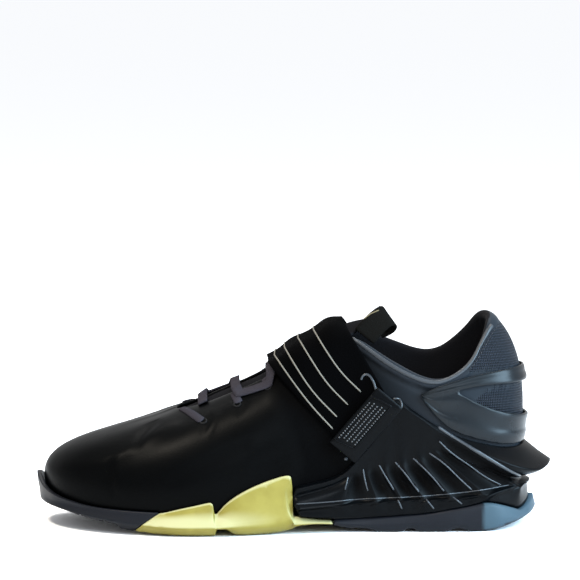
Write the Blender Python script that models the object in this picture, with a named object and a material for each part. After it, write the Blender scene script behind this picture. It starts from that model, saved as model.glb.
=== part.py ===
"""Left weightlifting shoe: a hollow upper on a raised heel, with a ribbed heel cage, a three-part
outsole, tongue, lace, instep strap and its keeper.

The toe points to -X, the outer (lateral) side to -Y and +Z is up. Sizes are in metres.
A place around the shoe is t: 0 at the toe, 1 at the heel, up the lateral side; 2 - t is the same
place on the medial side. A place up the upper's wall is v: 0 at the sole, 1 at the top edge.
"""

import math

import bmesh
import bpy
from mathutils import Vector
from mathutils.bvhtree import BVHTree

MM = 0.001

# The last and the upper.
UPPER_LENGTH = 274 * MM
BALL_WIDTH = 97 * MM
UPPER_RISE = 97.5 * MM
WALL = 2.2 * MM
COLLAR_PAD = 5.0 * MM
PIPING_WIDTH = 5.0 * MM
PIPING_STEP = 0.8 * MM

# The sole under it.
FOREFOOT_STACK = 12 * MM
HEEL_DROP = 16 * MM
TOE_SPRING = 14.5 * MM
TOE_THINNING = 10 * MM
ARCH_RISE = 5 * MM
HEEL_BEVEL = 8 * MM
RIM_THICKNESS = 2.6 * MM
TOE_MARGIN = 5.0 * MM
OUTRIGGER = 9.0 * MM
HEEL_FLARE = 9.5 * MM
EDGE_CHAMFER = 5.0 * MM
TOE_CHAMFER = 6.0 * MM
CREASE_HEIGHT = 5.5 * MM
HEEL_PLATE = 7.2 * MM
GROOVE_DEPTH = 1.8 * MM
INSOLE_THICKNESS = 4 * MM

# The heel cage and counter.
SPOILER = 18.5 * MM
FIN_HEIGHT = 5.0 * MM
CAGE_SHELL = 2.2 * MM
CAGE_TUCK = 5.0 * MM
COUNTER_SHELL = 1.5 * MM

# Tongue, lace, strap and pull loop.
TONGUE_THICKNESS = 4.5 * MM
LACE_WIDTH = 5.5 * MM
LACE_THICKNESS = 1.3 * MM
STRAP_WIDTH = 50 * MM
STRAP_THICKNESS = 2.6 * MM
KEEPER_LENGTH = 42 * MM
KEEPER_WIDTH = 19 * MM
KEEPER_THICKNESS = 2.2 * MM
LOOP_WIDTH = 14 * MM
LOOP_THICKNESS = 1.6 * MM

# Clearances between pieces that touch.
FIT = 0.4 * MM
SEAT = 0.3 * MM
STRAP_FIT = 1.5 * MM

HALF_BALL = BALL_WIDTH / 2
UP = Vector((0, 0, 1))
LATERAL, MEDIAL = 1, -1

# Sections of the upper. foot_* is its bottom edge and top_* its throat or collar edge. Lengths
# along X are shares of UPPER_LENGTH from the toe, across Y of HALF_BALL, and rises of UPPER_RISE.
SECTION_COLUMNS = (
    "u", "foot_x", "foot_y", "top_x", "top_y", "rise",
    "bulge_out", "bulge_up", "crown_out", "crown_down",
)
LATERAL_SECTIONS = (
    (0.00, 0.000, 0.165, 0.270, 0.08, 0.530, 0.385, 0.372, 0.777, 0.175),
    (0.04, 0.009, -0.125, 0.272, 0.02, 0.526, 0.370, 0.368, 0.770, 0.165),
    (0.09, 0.036, -0.41, 0.277, -0.06, 0.538, 0.320, 0.350, 0.730, 0.144),
    (0.16, 0.095, -0.69, 0.292, -0.145, 0.562, 0.220, 0.320, 0.67, 0.103),
    (0.24, 0.175, -0.90, 0.328, -0.215, 0.600, 0.150, 0.300, 0.598, 0.082),
    (0.33, 0.277, -1.00, 0.387, -0.29, 0.675, 0.124, 0.328, 0.536, 0.092),
    (0.42, 0.387, -0.97, 0.460, -0.35, 0.765, 0.110, 0.369, 0.454, 0.133),
    (0.52, 0.511, -0.845, 0.547, -0.41, 0.895, 0.082, 0.41, 0.35, 0.226),
    (0.62, 0.635, -0.74, 0.639, -0.475, 0.962, 0.045, 0.43, 0.247, 0.308),
    (0.71, 0.752, -0.71, 0.723, -0.68, 0.790, 0.035, 0.369, 0.103, 0.298),
    (0.80, 0.861, -0.70, 0.825, -0.73, 0.635, 0.041, 0.308, 0.062, 0.257),
    (0.87, 0.934, -0.61, 0.898, -0.58, 0.730, 0.062, 0.328, 0.180, 0.250),
    (0.94, 0.985, -0.35, 0.934, -0.33, 0.920, 0.103, 0.338, 0.42, 0.210),
    (1.00, 1.000, 0.00, 0.943, 0.00, 0.972, 0.103, 0.328, 0.53, 0.165),
)
MEDIAL_SECTIONS = (
    (0.04, 0.007, 0.41, 0.272, 0.145, 0.526, 0.370, 0.368, 0.770, 0.165),
    (0.09, 0.029, 0.62, 0.277, 0.225, 0.538, 0.320, 0.350, 0.730, 0.144),
    (0.16, 0.088, 0.79, 0.292, 0.31, 0.562, 0.200, 0.320, 0.67, 0.103),
    (0.24, 0.172, 0.91, 0.328, 0.38, 0.600, 0.130, 0.300, 0.58, 0.082),
    (0.33, 0.277, 0.96, 0.387, 0.435, 0.675, 0.100, 0.328, 0.50, 0.092),
    (0.42, 0.387, 0.87, 0.460, 0.475, 0.765, 0.095, 0.369, 0.42, 0.133),
    (0.52, 0.511, 0.71, 0.547, 0.495, 0.895, 0.082, 0.41, 0.32, 0.226),
    (0.62, 0.635, 0.63, 0.639, 0.535, 0.970, 0.045, 0.43, 0.22, 0.308),
    (0.71, 0.752, 0.65, 0.723, 0.68, 0.852, 0.035, 0.369, 0.103, 0.298),
    (0.80, 0.861, 0.68, 0.825, 0.71, 0.735, 0.041, 0.308, 0.062, 0.257),
    (0.87, 0.934, 0.61, 0.891, 0.57, 0.850, 0.062, 0.328, 0.180, 0.250),
    (0.94, 0.985, 0.35, 0.924, 0.33, 0.962, 0.103, 0.338, 0.44, 0.210),
)

# Where the sole's shapes begin and end, as shares of UPPER_LENGTH from the toe.
BALL_SHARE = 0.299
HEEL_RAMP_SHARE = 0.361
ARCH_SHARE = 0.575
ARCH_SPAN = 0.115
BEVEL_SHARE = 0.934
BEVEL_SPAN = 0.110


def spline(rows, at):
    """Cubic through (knot, value) rows, each knot's slope taken from its neighbours."""
    at = min(max(at, rows[0][0]), rows[-1][0])
    k = 0
    while k < len(rows) - 2 and at > rows[k + 1][0]:
        k += 1
    (x0, y0), (x1, y1) = rows[k], rows[k + 1]
    before = rows[k - 1] if k > 0 else rows[k]
    after = rows[k + 2] if k + 2 < len(rows) else rows[k + 1]
    slope0 = (y1 - before[1]) / (x1 - before[0])
    slope1 = (after[1] - y0) / (after[0] - x0)
    step = x1 - x0
    f = (at - x0) / step
    g = 1 - f
    rising = f * f * (3 - 2 * f) * y1 - f * f * g * step * slope1
    return (1 + 2 * f) * g * g * y0 + f * g * g * step * slope0 + rising


def straight(rows, at):
    """Straight lines through (knot, value) rows."""
    at = min(max(at, rows[0][0]), rows[-1][0])
    for (x0, y0), (x1, y1) in zip(rows, rows[1:]):
        if at <= x1:
            return y0 + (y1 - y0) * (at - x0) / (x1 - x0)
    return rows[-1][1]


def clamp(value, low=0.0, high=1.0):
    return min(max(value, low), high)


def ease(f):
    f = clamp(f)
    return f * f * (3 - 2 * f)


def ring_columns():
    """Each section column as (t, value) rows that run round the shoe three times."""
    once = [(row[0], row) for row in LATERAL_SECTIONS]
    once += [(2 - row[0], row) for row in reversed(MEDIAL_SECTIONS)]
    columns = {}
    for i, name in enumerate(SECTION_COLUMNS):
        columns[name] = [(t + turn, row[i]) for turn in (-2, 0, 2) for t, row in once]
    return columns


COLUMNS = ring_columns()


def around(name, t):
    return spline(COLUMNS[name], t % 2)


def spring_share(x):
    """How far x is up the toe spring: 0 at the ball, 1 at the tip of the sole."""
    tip_share = -TOE_MARGIN / UPPER_LENGTH
    return max(0, (BALL_SHARE - x / UPPER_LENGTH) / (BALL_SHARE - tip_share)) ** 2


def footbed_height(x):
    """Height of the upper's bottom edge over the floor."""
    ramp = clamp((x / UPPER_LENGTH - HEEL_RAMP_SHARE) / (1 - HEEL_RAMP_SHARE))
    toe = (TOE_SPRING - TOE_THINNING) * spring_share(x)
    return FOREFOOT_STACK + toe + HEEL_DROP * ramp**1.3


def sole_bottom(x):
    """Height of the outsole's underside over the floor."""
    share = x / UPPER_LENGTH
    arch = ARCH_RISE * (1 - ease(abs(share - ARCH_SHARE) / ARCH_SPAN))
    bevel = HEEL_BEVEL * clamp((share - BEVEL_SHARE) / BEVEL_SPAN, 0, 1.3)
    return TOE_SPRING * spring_share(x) + arch + bevel


def foot_point(t):
    x = around("foot_x", t) * UPPER_LENGTH
    return Vector((x, around("foot_y", t) * HALF_BALL, footbed_height(x)))


def outward(t):
    """Level direction out of the shoe at t."""
    ahead = foot_point(t + 0.004) - foot_point(t - 0.004)
    return Vector((ahead.y, -ahead.x, 0)).normalized()


def top_point(t):
    rise = around("rise", t) * UPPER_RISE
    return Vector((
        around("top_x", t) * UPPER_LENGTH,
        around("top_y", t) * HALF_BALL,
        foot_point(t).z + rise,
    ))


def base_point(t, v):
    """The upper's outer surface, without its steps."""
    foot, top = foot_point(t), top_point(t)
    out = outward(t)
    aim = Vector((foot.x - top.x, foot.y - top.y, 0)) + out * 0.4 * HALF_BALL
    aim.normalize()
    low = foot + out * around("bulge_out", t) * HALF_BALL
    low += UP * around("bulge_up", t) * UPPER_RISE
    high = top + aim * around("crown_out", t) * HALF_BALL
    high -= UP * around("crown_down", t) * UPPER_RISE
    w = 1 - v
    return foot * w**3 + low * 3 * w * w * v + high * 3 * w * v * v + top * v**3


def base_normal(t, v):
    along = base_point(t + 0.003, v) - base_point(t - 0.003, v)
    up = base_point(t, min(v + 0.01, 1)) - base_point(t, max(v - 0.01, 0))
    return along.cross(up).normalized()


def side_u(t):
    """Place along the side, 0 at the toe and 1 at the heel, on either side."""
    t = t % 2
    return t if t <= 1 else 2 - t


def piping(t, v):
    """Raised binding along the collar, behind the strap."""
    edge = 1 - PIPING_WIDTH / (UPPER_RISE * 0.9)
    return PIPING_STEP * (v > edge) * ease((side_u(t) - 0.60) / 0.03)


def upper_point(t, v, offset=0.0):
    return base_point(t, v) + base_normal(t, v) * offset


def wall_v(t, z):
    """The v at which the wall stands at height z."""
    low, high = 0.0, 1.0
    for _ in range(18):
        mid = (low + high) / 2
        if base_point(t, mid).z < z:
            low = mid
        else:
            high = mid
    return (low + high) / 2


def wall_point(t, z, offset):
    """Point at height z, offset from the upper's wall, which runs straight down below its edge."""
    foot = foot_point(t)
    if z <= foot.z:
        point = foot + outward(t) * offset
    else:
        point = upper_point(t, wall_v(t, z), offset)
    return Vector((point.x, point.y, z))


def share_of_x(x, side):
    """The t on one side at which the upper's bottom edge reaches x."""
    low, high = 0.0, 1.0
    for _ in range(22):
        mid = (low + high) / 2
        t = mid if side == LATERAL else 2 - mid
        if foot_point(t).x < x:
            low = mid
        else:
            high = mid
    return (low + high) / 2


def on_side(u, side):
    return u if side == LATERAL else 2 - u


def material(name, colour, roughness, metallic=0.0):
    made = bpy.data.materials.new(name)
    made.use_nodes = True
    shader = made.node_tree.nodes["Principled BSDF"]
    shader.inputs["Base Color"].default_value = (*colour, 1)
    shader.inputs["Roughness"].default_value = roughness
    shader.inputs["Metallic"].default_value = metallic
    return made


def add_object(name, points, faces, finish, crease=35):
    """A mesh object from points and faces, with its normals set to face out."""
    mesh = bpy.data.meshes.new(name)
    mesh.from_pydata([tuple(p) for p in points], [], faces)
    body = bmesh.new()
    body.from_mesh(mesh)
    bmesh.ops.remove_doubles(body, verts=body.verts, dist=0.00002)
    bmesh.ops.recalc_face_normals(body, faces=body.faces)
    bmesh.ops.triangulate(body, faces=[f for f in body.faces if len(f.verts) > 4])
    body.to_mesh(mesh)
    body.free()
    mesh.shade_smooth()
    mesh.set_sharp_from_angle(angle=math.radians(crease))
    mesh.materials.append(finish)
    shape = bpy.data.objects.new(name, mesh)
    bpy.context.scene.collection.objects.link(shape)
    shape.parent = bpy.data.objects["shoe"]
    return shape


def shell(name, outer, inner, finish, closed=False, keep=None, crease=35, split=False):
    """A closed shell between two grids of points, grid[column][row]; closed joins the last column
    to the first, and keep(column, row) says which cells are there. With split, the cells of both
    sheets are cut along the same diagonal, so that twisted ones stay apart."""
    columns, rows = len(outer), len(outer[0])
    points = [p for grid in (outer, inner) for line in grid for p in line]
    cells = {
        (i, j)
        for i in range(columns if closed else columns - 1)
        for j in range(rows - 1)
        if keep is None or keep(i, j)
    }

    def at(i, j, layer):
        return layer * columns * rows + (i % columns) * rows + j

    faces = []
    for i, j in cells:
        corners = ((i, j), (i + 1, j), (i + 1, j + 1), (i, j + 1))
        for part in (corners[:3], (corners[0], *corners[2:])) if split else (corners,):
            faces.append([at(a, b, 0) for a, b in part])
            faces.append([at(a, b, 1) for a, b in reversed(part)])
        before = (i - 1) % columns if closed else i - 1
        after = (i + 1) % columns if closed else i + 1
        borders = (
            ((i, j - 1), corners[0], corners[1]),
            ((after, j), corners[1], corners[2]),
            ((i, j + 1), corners[2], corners[3]),
            ((before, j), corners[3], corners[0]),
        )
        for neighbour, a, b in borders:
            if neighbour not in cells:
                faces.append([at(*b, 0), at(*a, 0), at(*a, 1), at(*b, 1)])
    return add_object(name, points, faces, finish, crease)


def loft(name, sections, finish, crease=35):
    """A closed solid through sections, each a closed polygon with the same number of points."""
    size = len(sections[0])
    points = [p for section in sections for p in section]
    faces = [list(range(size)), list(range(len(points) - size, len(points)))]
    for i in range(len(sections) - 1):
        for j in range(size):
            a, b = i * size + j, i * size + (j + 1) % size
            faces.append([a, b, b + size, a + size])
    return add_object(name, points, faces, finish, crease)


def tree_of(*shapes):
    """Ray-casting tree over some objects."""
    points, faces = [], []
    for shape in shapes:
        first = len(points)
        points += [v.co.copy() for v in shape.data.vertices]
        faces += [[first + i for i in face.vertices] for face in shape.data.polygons]
    return BVHTree.FromPolygons(points, faces)


def neighbours(rows, i, j):
    """Values round (i, j) in a grid, and its own."""
    return [
        rows[m][n]
        for m in range(max(i - 1, 0), min(i + 2, len(rows)))
        for n in range(max(j - 1, 0), min(j + 2, len(rows[0])))
    ]


def faired(rows):
    """A grid of lifts spread out and then evened, nowhere below what it was."""
    cells = [[(i, j) for j in range(len(rows[0]))] for i in range(len(rows))]
    spread = [[max(neighbours(rows, i, j)) for i, j in line] for line in cells]
    around_each = [[neighbours(spread, i, j) for i, j in line] for line in cells]
    return [[sum(values) / len(values) for values in line] for line in around_each]


def lift_clear(grid, normals, tree, clearance, along=None, rounds=1):
    """Moves a sheet's points outwards until the whole sheet clears what lies under it, and those
    of the sheet along with it by as much. The lifts are evened out in so many rounds."""
    lifts = [[0.0] * len(line) for line in grid]
    for i in range(len(grid) - 1):
        for j in range(len(grid[0]) - 1):
            corners = ((i, j), (i + 1, j), (i + 1, j + 1), (i, j + 1))
            for a, b in ((a / 4, b / 4) for a in range(5) for b in range(5)):
                shares = ((1 - a) * (1 - b), a * (1 - b), a * b, (1 - a) * b)
                spot = sum((grid[m][n] * f for (m, n), f in zip(corners, shares)), Vector())
                out = sum((normals[m][n] * f for (m, n), f in zip(corners, shares)), Vector())
                out.normalize()
                hit = tree.ray_cast(spot + out * 20 * MM, -out, 40 * MM)[0]
                if hit is None:
                    continue
                need = (hit - spot).dot(out) + clearance
                for m, n in corners:
                    lifts[m][n] = max(lifts[m][n], need)
    for _ in range(rounds):
        lifts = faired(lifts)
    for sheet in (grid, along or []):
        for line, directions, row in zip(sheet, normals, lifts):
            for p, out, lift in zip(line, directions, row):
                p += out * lift


# Upper

UPPER_COLUMNS = 66
UPPER_ROWS = (0, 0.10, 0.22, 0.35, 0.49, 0.63, 0.76, 0.87, 0.935, 0.948, 1.0)


def wall_thickness(t, v):
    """The wall is padded towards the collar."""
    collar = ease((side_u(t) - 0.60) / 0.12) * ease((v - 0.45) / 0.3)
    return WALL + (COLLAR_PAD - WALL) * collar


def make_upper(finish):
    outer, inner = [], []
    for i in range(UPPER_COLUMNS):
        t = 2 * i / UPPER_COLUMNS
        outside, inside = [], []
        for v in UPPER_ROWS:
            normal = base_normal(t, v)
            point = base_point(t, v)
            outside.append(point + normal * piping(t, v))
            inside.append(point - normal * wall_thickness(t, v))
        lip = wall_thickness(t, 1) * 0.35
        rise = (base_point(t, 1) - base_point(t, 0.97)).normalized()
        outside.append((outside[-1] * 3 + inside[-1]) / 4 + rise * lip)
        inside.append((outside[-2] + inside[-1] * 3) / 4 + rise * lip)
        inside[0].z = outside[0].z
        outer.append(outside)
        inner.append(inside)
    return shell("upper", outer, inner, finish, closed=True, crease=50)


# Outsole in three parts, wedge and insole

# The bumper's top edge over the upper's edge, as a share of UPPER_RISE.
TOE_RIM = (
    (-0.03, 0.165), (0.0, 0.140), (0.008, 0.082), (0.025, 0.046), (0.06, 0.024), (0.10, 0.013),
    (0.14, 0.0123), (0.30, 0.0123),
)
# The slanted joint between toe piece and wrap: height as a share of FOREFOOT_STACK, and x.
FRONT_JOINT = ((0.0, 0.180), (0.29, 0.190), (1.075, 0.238))
# The yellow wrap's top edge: x as a share of UPPER_LENGTH, and the rim as a share of UPPER_RISE
# over the floor of the forefoot stack.
WRAP_RIM = (
    (0.190, 0.006), (0.212, 0.012), (0.238, 0.019), (0.276, 0.034), (0.313, 0.056),
    (0.336, 0.072), (0.343, 0.074), (0.3485, 0.064), (0.3510, 0.030), (0.3530, 0.006),
    (0.3580, 0.006), (0.365, 0.030), (0.376, 0.066), (0.394, 0.104), (0.420, 0.143),
    (0.453, 0.175), (0.482, 0.195), (0.500, 0.204), (0.508, 0.196), (0.5125, 0.168),
)
WRAP_TAIL = ((0.5155, -0.042), (0.535, -0.058), (0.56, -0.075), (0.598, -0.094))
WING_LEAN = 4.0 * MM


def chamfer_inset(u):
    """The bottom edge tucks in further round the toe."""
    return EDGE_CHAMFER + TOE_CHAMFER * (1 - ease(u / 0.16))


def front_joint(z):
    return straight(FRONT_JOINT, z / FOREFOOT_STACK)


def wing_lean(share, z):
    """The joint between wing and heel cage bows forward at mid height."""
    height = clamp((z - FOREFOOT_STACK * 0.85) / (UPPER_RISE * 0.21))
    weight = clamp((share - 0.45) / 0.06) * clamp((0.57 - share) / 0.03)
    return WING_LEAN / UPPER_LENGTH * weight * math.sin(math.pi * height)


def sole_side(side, u_of, rim, flare, tail=False):
    """One side's part of a sole section, from under the upper's edge over the rim to the bottom.
    u_of(z) is the section's place along the side at height z, and rim is its height over the
    upper's edge."""
    def place(z, reach):
        return wall_point(on_side(u_of(z), side), z, FIT + reach)

    floor = FOREFOOT_STACK
    for _ in range(3):
        floor = foot_point(on_side(u_of(floor), side)).z - SEAT
    top = floor + SEAT + rim
    if tail:
        floor = top
    points = [place(floor + (top - floor) * k / 3, 0) for k in range(4)]
    bottom = sole_bottom(foot_point(on_side(u_of(0), side)).x)
    crease = bottom + min(0.45 * (floor - bottom), CREASE_HEIGHT)
    for k in range(4):
        f = k / 3
        points.append(place(top + (crease - top) * f, RIM_THICKNESS + (flare - RIM_THICKNESS) * f**1.6))
    t = on_side(u_of(bottom), side)
    low = foot_point(t) + outward(t) * (FIT + flare - chamfer_inset(side_u(t)))
    points.append(Vector((low.x, low.y, sole_bottom(low.x))))
    return points


def cut_groove(points, depth):
    """Lifts the section's two bottom points, which are the middle ones."""
    middle = len(points) // 2
    for p in points[middle - 1:middle + 1]:
        p.z += depth


def with_grooves(stations, grooves, half):
    """Adds the four stations of each groove to a list of places along the sole."""
    spaced = [(s, False) for s in stations if all(abs(s - g) > 2.2 * half for g in grooves)]
    for g in grooves:
        spaced += [(g - 1.5 * half, False), (g - half, True), (g + half, True), (g + 1.5 * half, False)]
    return sorted(spaced)


def make_outsole_toe(finish):
    """Black front of the outsole, with a bumper that climbs the toe."""
    stations = [k / 20 for k in range(21)]
    grooved = with_grooves(stations, (0.50, 0.72), 0.011)
    sections = []
    for f, deep in grooved:
        halves = []
        for side in (LATERAL, MEDIAL):
            def u_of(z, f=f, side=side):
                return f * share_of_x(front_joint(z) * UPPER_LENGTH - SEAT, side)
            foot = foot_point(on_side(u_of(FOREFOOT_STACK), side))
            rim = spline(TOE_RIM, foot.x / UPPER_LENGTH) * UPPER_RISE
            halves.append(sole_side(side, u_of, rim, TOE_MARGIN - FIT))
        section = halves[0] + halves[1][::-1]
        if deep:
            cut_groove(section, GROOVE_DEPTH)
        sections.append(section)
    return loft("outsole_toe", sections, finish)


def wrap_flare(x):
    """The outrigger: the wrap stands out most under the ball."""
    share = x / UPPER_LENGTH
    swell = ease((share - 0.17) / 0.14) * (1 - 0.35 * ease((share - 0.40) / 0.18))
    return TOE_MARGIN + (OUTRIGGER - TOE_MARGIN) * swell


def make_outsole_wrap(finish):
    """Yellow outsole under the ball, whose wings climb both sides of the upper."""
    rows = [(x, rim, False) for x, rim in WRAP_RIM] + [(x, rim, True) for x, rim in WRAP_TAIL]
    notch = {0.3580, 0.365, 0.376}
    first = rows[0][0]
    sections = []
    for x, rim, tail in rows:
        fade = clamp((x - first) / (0.276 - first))
        halves = []
        for side in (LATERAL, MEDIAL):
            def u_of(z, x=x, fade=fade, side=side):
                share = x + (1 - fade) * (front_joint(z) - first)
                return share_of_x((share - wing_lean(x, z)) * UPPER_LENGTH, side)
            flare = wrap_flare(x * UPPER_LENGTH)
            halves.append(sole_side(side, u_of, rim * UPPER_RISE, flare, tail))
        section = halves[0] + halves[1][::-1]
        if x in notch:
            cut_groove(section, GROOVE_DEPTH * 1.6)
        sections.append(section)
    return loft("outsole_wrap", sections, finish)


TAIL_TOP = [(x, footbed_height(x * UPPER_LENGTH) + rim * UPPER_RISE) for x, rim in WRAP_TAIL]


def plate_top(x):
    """Top of what the wedge stands on: the wrap's tail, then the heel plate."""
    share = x / UPPER_LENGTH
    if share < WRAP_TAIL[-1][0]:
        return straight(TAIL_TOP, share)
    return min(HEEL_PLATE, TAIL_TOP[-1][1])


def make_wedge(finish):
    """Heel wedge between the outsole and the upper, hidden by the cage."""
    first = share_of_x(WRAP_TAIL[0][0] * UPPER_LENGTH + 1.5 * MM, LATERAL)
    sections = []
    for k in range(19):
        u = first + (1 - first) * math.sin(math.pi / 2 * k / 18)
        halves = []
        for side in (LATERAL, MEDIAL):
            foot = foot_point(on_side(u, side))
            top = Vector((foot.x, foot.y, foot.z - SEAT))
            low = Vector((foot.x, foot.y, plate_top(foot.x) + SEAT))
            halves.append([top, low])
        sections.append(halves[0] + halves[1][::-1])
    return loft("midsole_wedge", sections, finish)


def make_insole(finish):
    inset = WALL + 0.8 * MM
    sections = []
    for k in range(25):
        u = 0.5 - 0.5 * math.cos(math.pi * k / 24)
        halves = []
        for side in (LATERAL, MEDIAL):
            t = on_side(u, side)
            foot = foot_point(t) - outward(t) * inset
            top = Vector((foot.x, foot.y, foot.z + INSOLE_THICKNESS))
            halves.append([top, foot])
        sections.append(halves[0] + halves[1][::-1])
    return loft("insole", sections, finish)


# Heel cage. Heights are shares of the heel's stack, FOREFOOT_STACK + HEEL_DROP, against the place
# along the side; the seven fins lean back further the nearer they stand to the heel.

CAGE_BOTTOM = (
    (0.52, 0.40), (0.545, 0.345), (0.60, 0.29), (0.66, 0.32), (0.75, 0.39), (0.82, 0.53),
    (0.857, 0.62), (0.90, 0.48), (0.93, 0.36), (0.96, 0.48), (1.0, 0.60),
)
CAGE_BASE = (
    (0.52, 0.50), (0.607, 0.59), (0.704, 0.66), (0.794, 0.68), (0.86, 0.77), (0.90, 0.85),
    (0.94, 0.88), (1.0, 0.91),
)
CAGE_EDGE = (
    (0.52, 0.89), (0.56, 1.02), (0.60, 1.12), (0.622, 1.34), (0.635, 1.52), (0.66, 1.84),
    (0.69, 2.30), (0.705, 2.70), (0.722, 2.62), (0.744, 2.44), (0.78, 2.11), (0.817, 1.82),
    (0.857, 1.57), (0.90, 1.31), (0.94, 1.18), (0.97, 1.25), (1.0, 1.34),
)
CAGE_TOP = (
    (0.52, 0.93), (0.60, 1.16), (0.635, 1.57), (0.705, 2.76), (0.744, 2.51), (0.78, 2.20),
    (0.817, 1.95), (0.857, 1.80), (0.90, 1.70), (0.94, 1.68), (1.0, 1.73),
)
SPOILER_REACH = (
    (0.52, 0.30), (0.60, 0.20), (0.70, 0.13), (0.76, 0.15), (0.80, 0.22), (0.84, 0.38),
    (0.88, 0.58), (0.92, 0.80), (0.96, 0.95), (1.0, 1.0),
)
# A row for each column of the cage: where it stands at its base line, at the fins' upper ends and
# at the edge, how high the fins' upper ends are, and how much of the fin height it carries.
CAGE_COLUMNS = (
    ("base", "mid", "edge", "fin_top", "fin"),
    (0.5345, 0.5345, 0.5345, 0.76, 1.0),
    (0.560, 0.556, 0.556, 0.84, 1.0),
    (0.585, 0.590, 0.592, 0.96, 1.0),
    (0.607, 0.618, 0.612, 1.14, 1.0),
    (0.622, 0.627, 0.622, 1.18, 0.2),
    (0.636, 0.634, 0.630, 1.22, 0.0),
    (0.652, 0.641, 0.638, 1.25, 0.3),
    (0.665, 0.648, 0.646, 1.29, 1.0),
    (0.676, 0.656, 0.655, 1.31, 0.3),
    (0.685, 0.663, 0.663, 1.33, 0.0),
    (0.696, 0.668, 0.669, 1.36, 0.3),
    (0.706, 0.673, 0.675, 1.39, 1.0),
    (0.716, 0.681, 0.682, 1.42, 0.3),
    (0.725, 0.688, 0.689, 1.45, 0.0),
    (0.735, 0.694, 0.696, 1.48, 0.3),
    (0.745, 0.700, 0.703, 1.50, 1.0),
    (0.757, 0.708, 0.712, 1.53, 0.3),
    (0.770, 0.715, 0.721, 1.56, 0.0),
    (0.782, 0.722, 0.730, 1.59, 0.3),
    (0.794, 0.729, 0.740, 1.62, 1.0),
    (0.808, 0.737, 0.751, 1.66, 0.3),
    (0.822, 0.744, 0.762, 1.70, 0.0),
    (0.837, 0.750, 0.773, 1.74, 0.3),
    (0.853, 0.757, 0.785, 1.78, 1.0),
    (0.872, 0.768, 0.799, 1.76, 0.3),
    (0.890, 0.780, 0.813, 1.70, 0.0),
    (0.908, 0.795, 0.828, 1.62, 0.3),
    (0.925, 0.812, 0.844, 1.52, 1.0),
    (0.940, 0.840, 0.865, 1.38, 0.3),
    (0.952, 0.875, 0.890, 1.22, 0.0),
    (0.963, 0.908, 0.918, 1.10, 0.0),
    (0.975, 0.940, 0.946, 1.05, 0.0),
    (0.988, 0.970, 0.973, 1.06, 0.0),
    (1.000, 1.000, 1.000, 1.08, 0.0),
)


def spoiler_reach(u):
    return SPOILER * straight(SPOILER_REACH, u)


def cage_column(side, base, mid, edge, fin_top, fin):
    """One column of the cage as (outer points, inner points), from the bottom edge up."""
    stack = FOREFOOT_STACK + HEEL_DROP
    foot_x = foot_point(on_side(base, side)).x
    rest = plate_top(foot_x) + SEAT
    z0 = max(straight(CAGE_BOTTOM, base) * stack, rest)
    z1 = max(straight(CAGE_BASE, base) * stack, z0 + 0.9 * CAGE_SHELL)
    z3 = spline(CAGE_EDGE, edge) * stack
    z4 = max(spline(CAGE_TOP, edge) * stack, z3 + 0.36 * CAGE_SHELL)
    z2 = min(fin_top * stack, z3 - CAGE_SHELL)
    reach = spoiler_reach(edge)
    flare = HEEL_FLARE * 0.68
    ridge = FIN_HEIGHT * fin
    rows = (
        (0.0, z0, flare - 0.35 * CAGE_SHELL),
        (0.0, z1 - 0.55 * CAGE_SHELL, flare - 0.7 * CAGE_SHELL + 0.5 * ridge * (base > 0.6)),
        (0.0, z1, flare),
        (0.08, z1 + 0.4 * CAGE_SHELL, CAGE_SHELL + max(ridge * 0.75, 0.05 * CAGE_SHELL)),
        (0.35, z1 + 0.33 * (z2 - z1), CAGE_SHELL * 0.65 + ridge * 0.85),
        (0.72, z1 + 0.70 * (z2 - z1), CAGE_SHELL * 0.7 + ridge * 0.65),
        (1.0, z2, CAGE_SHELL + max(0, reach - 1.8 * CAGE_SHELL) * 0.35),
        (1.8, z3 - CAGE_SHELL, CAGE_SHELL + max(0, reach - CAGE_SHELL) * 0.80),
        (2.0, z3, max(reach, 1.3 * CAGE_SHELL)),
        (2.0, z3 + 0.35 * (z4 - z3), max(reach * 0.62, 1.2 * CAGE_SHELL)),
        (2.0, z4, 0.6 * CAGE_SHELL),
    )
    outer, inner = [], []
    for place, z, offset in rows:
        u = base + (mid - base) * min(place, 1) + (edge - mid) * max(place - 1, 0)
        share = foot_point(on_side(u, side)).x / UPPER_LENGTH
        t = on_side(u - 0.8 * wing_lean(share, z), side)
        level = max(z, foot_point(t).z + CAGE_TUCK)
        for grid, reach in ((outer, FIT + offset), (inner, FIT)):
            point = wall_point(t, level, reach)
            point.z = z
            grid.append(point)
    return outer, inner


def level_normals(grid, inner):
    """Level directions from an inner sheet to the outer one."""
    return [
        [Vector((*(a - b).xy, 0)).normalized() for a, b in zip(line, inside)]
        for line, inside in zip(grid, inner)
    ]


def make_cage(upper, finish):
    """Moulded cage round the heel: finned sides, a ridge that climbs to the strap, and a spoiler."""
    table = CAGE_COLUMNS[1:]
    places = [(LATERAL, row) for row in table] + [(MEDIAL, row) for row in reversed(table[:-1])]
    outer, inner = [], []
    for side, row in places:
        outside, inside = cage_column(side, *row)
        outer.append(outside)
        inner.append(inside)
    lift_clear(inner, level_normals(outer, inner), tree_of(upper), 1.6 * FIT, outer)
    return shell("heel_cage", outer, inner, finish, crease=28)


# Outsole under the heel: faceted rear corners and a bevelled back edge.

HEEL_OUTLINE = (
    (0.60, 0.62), (0.68, 0.70), (0.76, 0.80), (0.84, 0.96), (0.868, 1.16),
    (0.90, 1.10), (0.94, 0.98), (0.97, 1.05), (1.0, 1.18),
)


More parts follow.
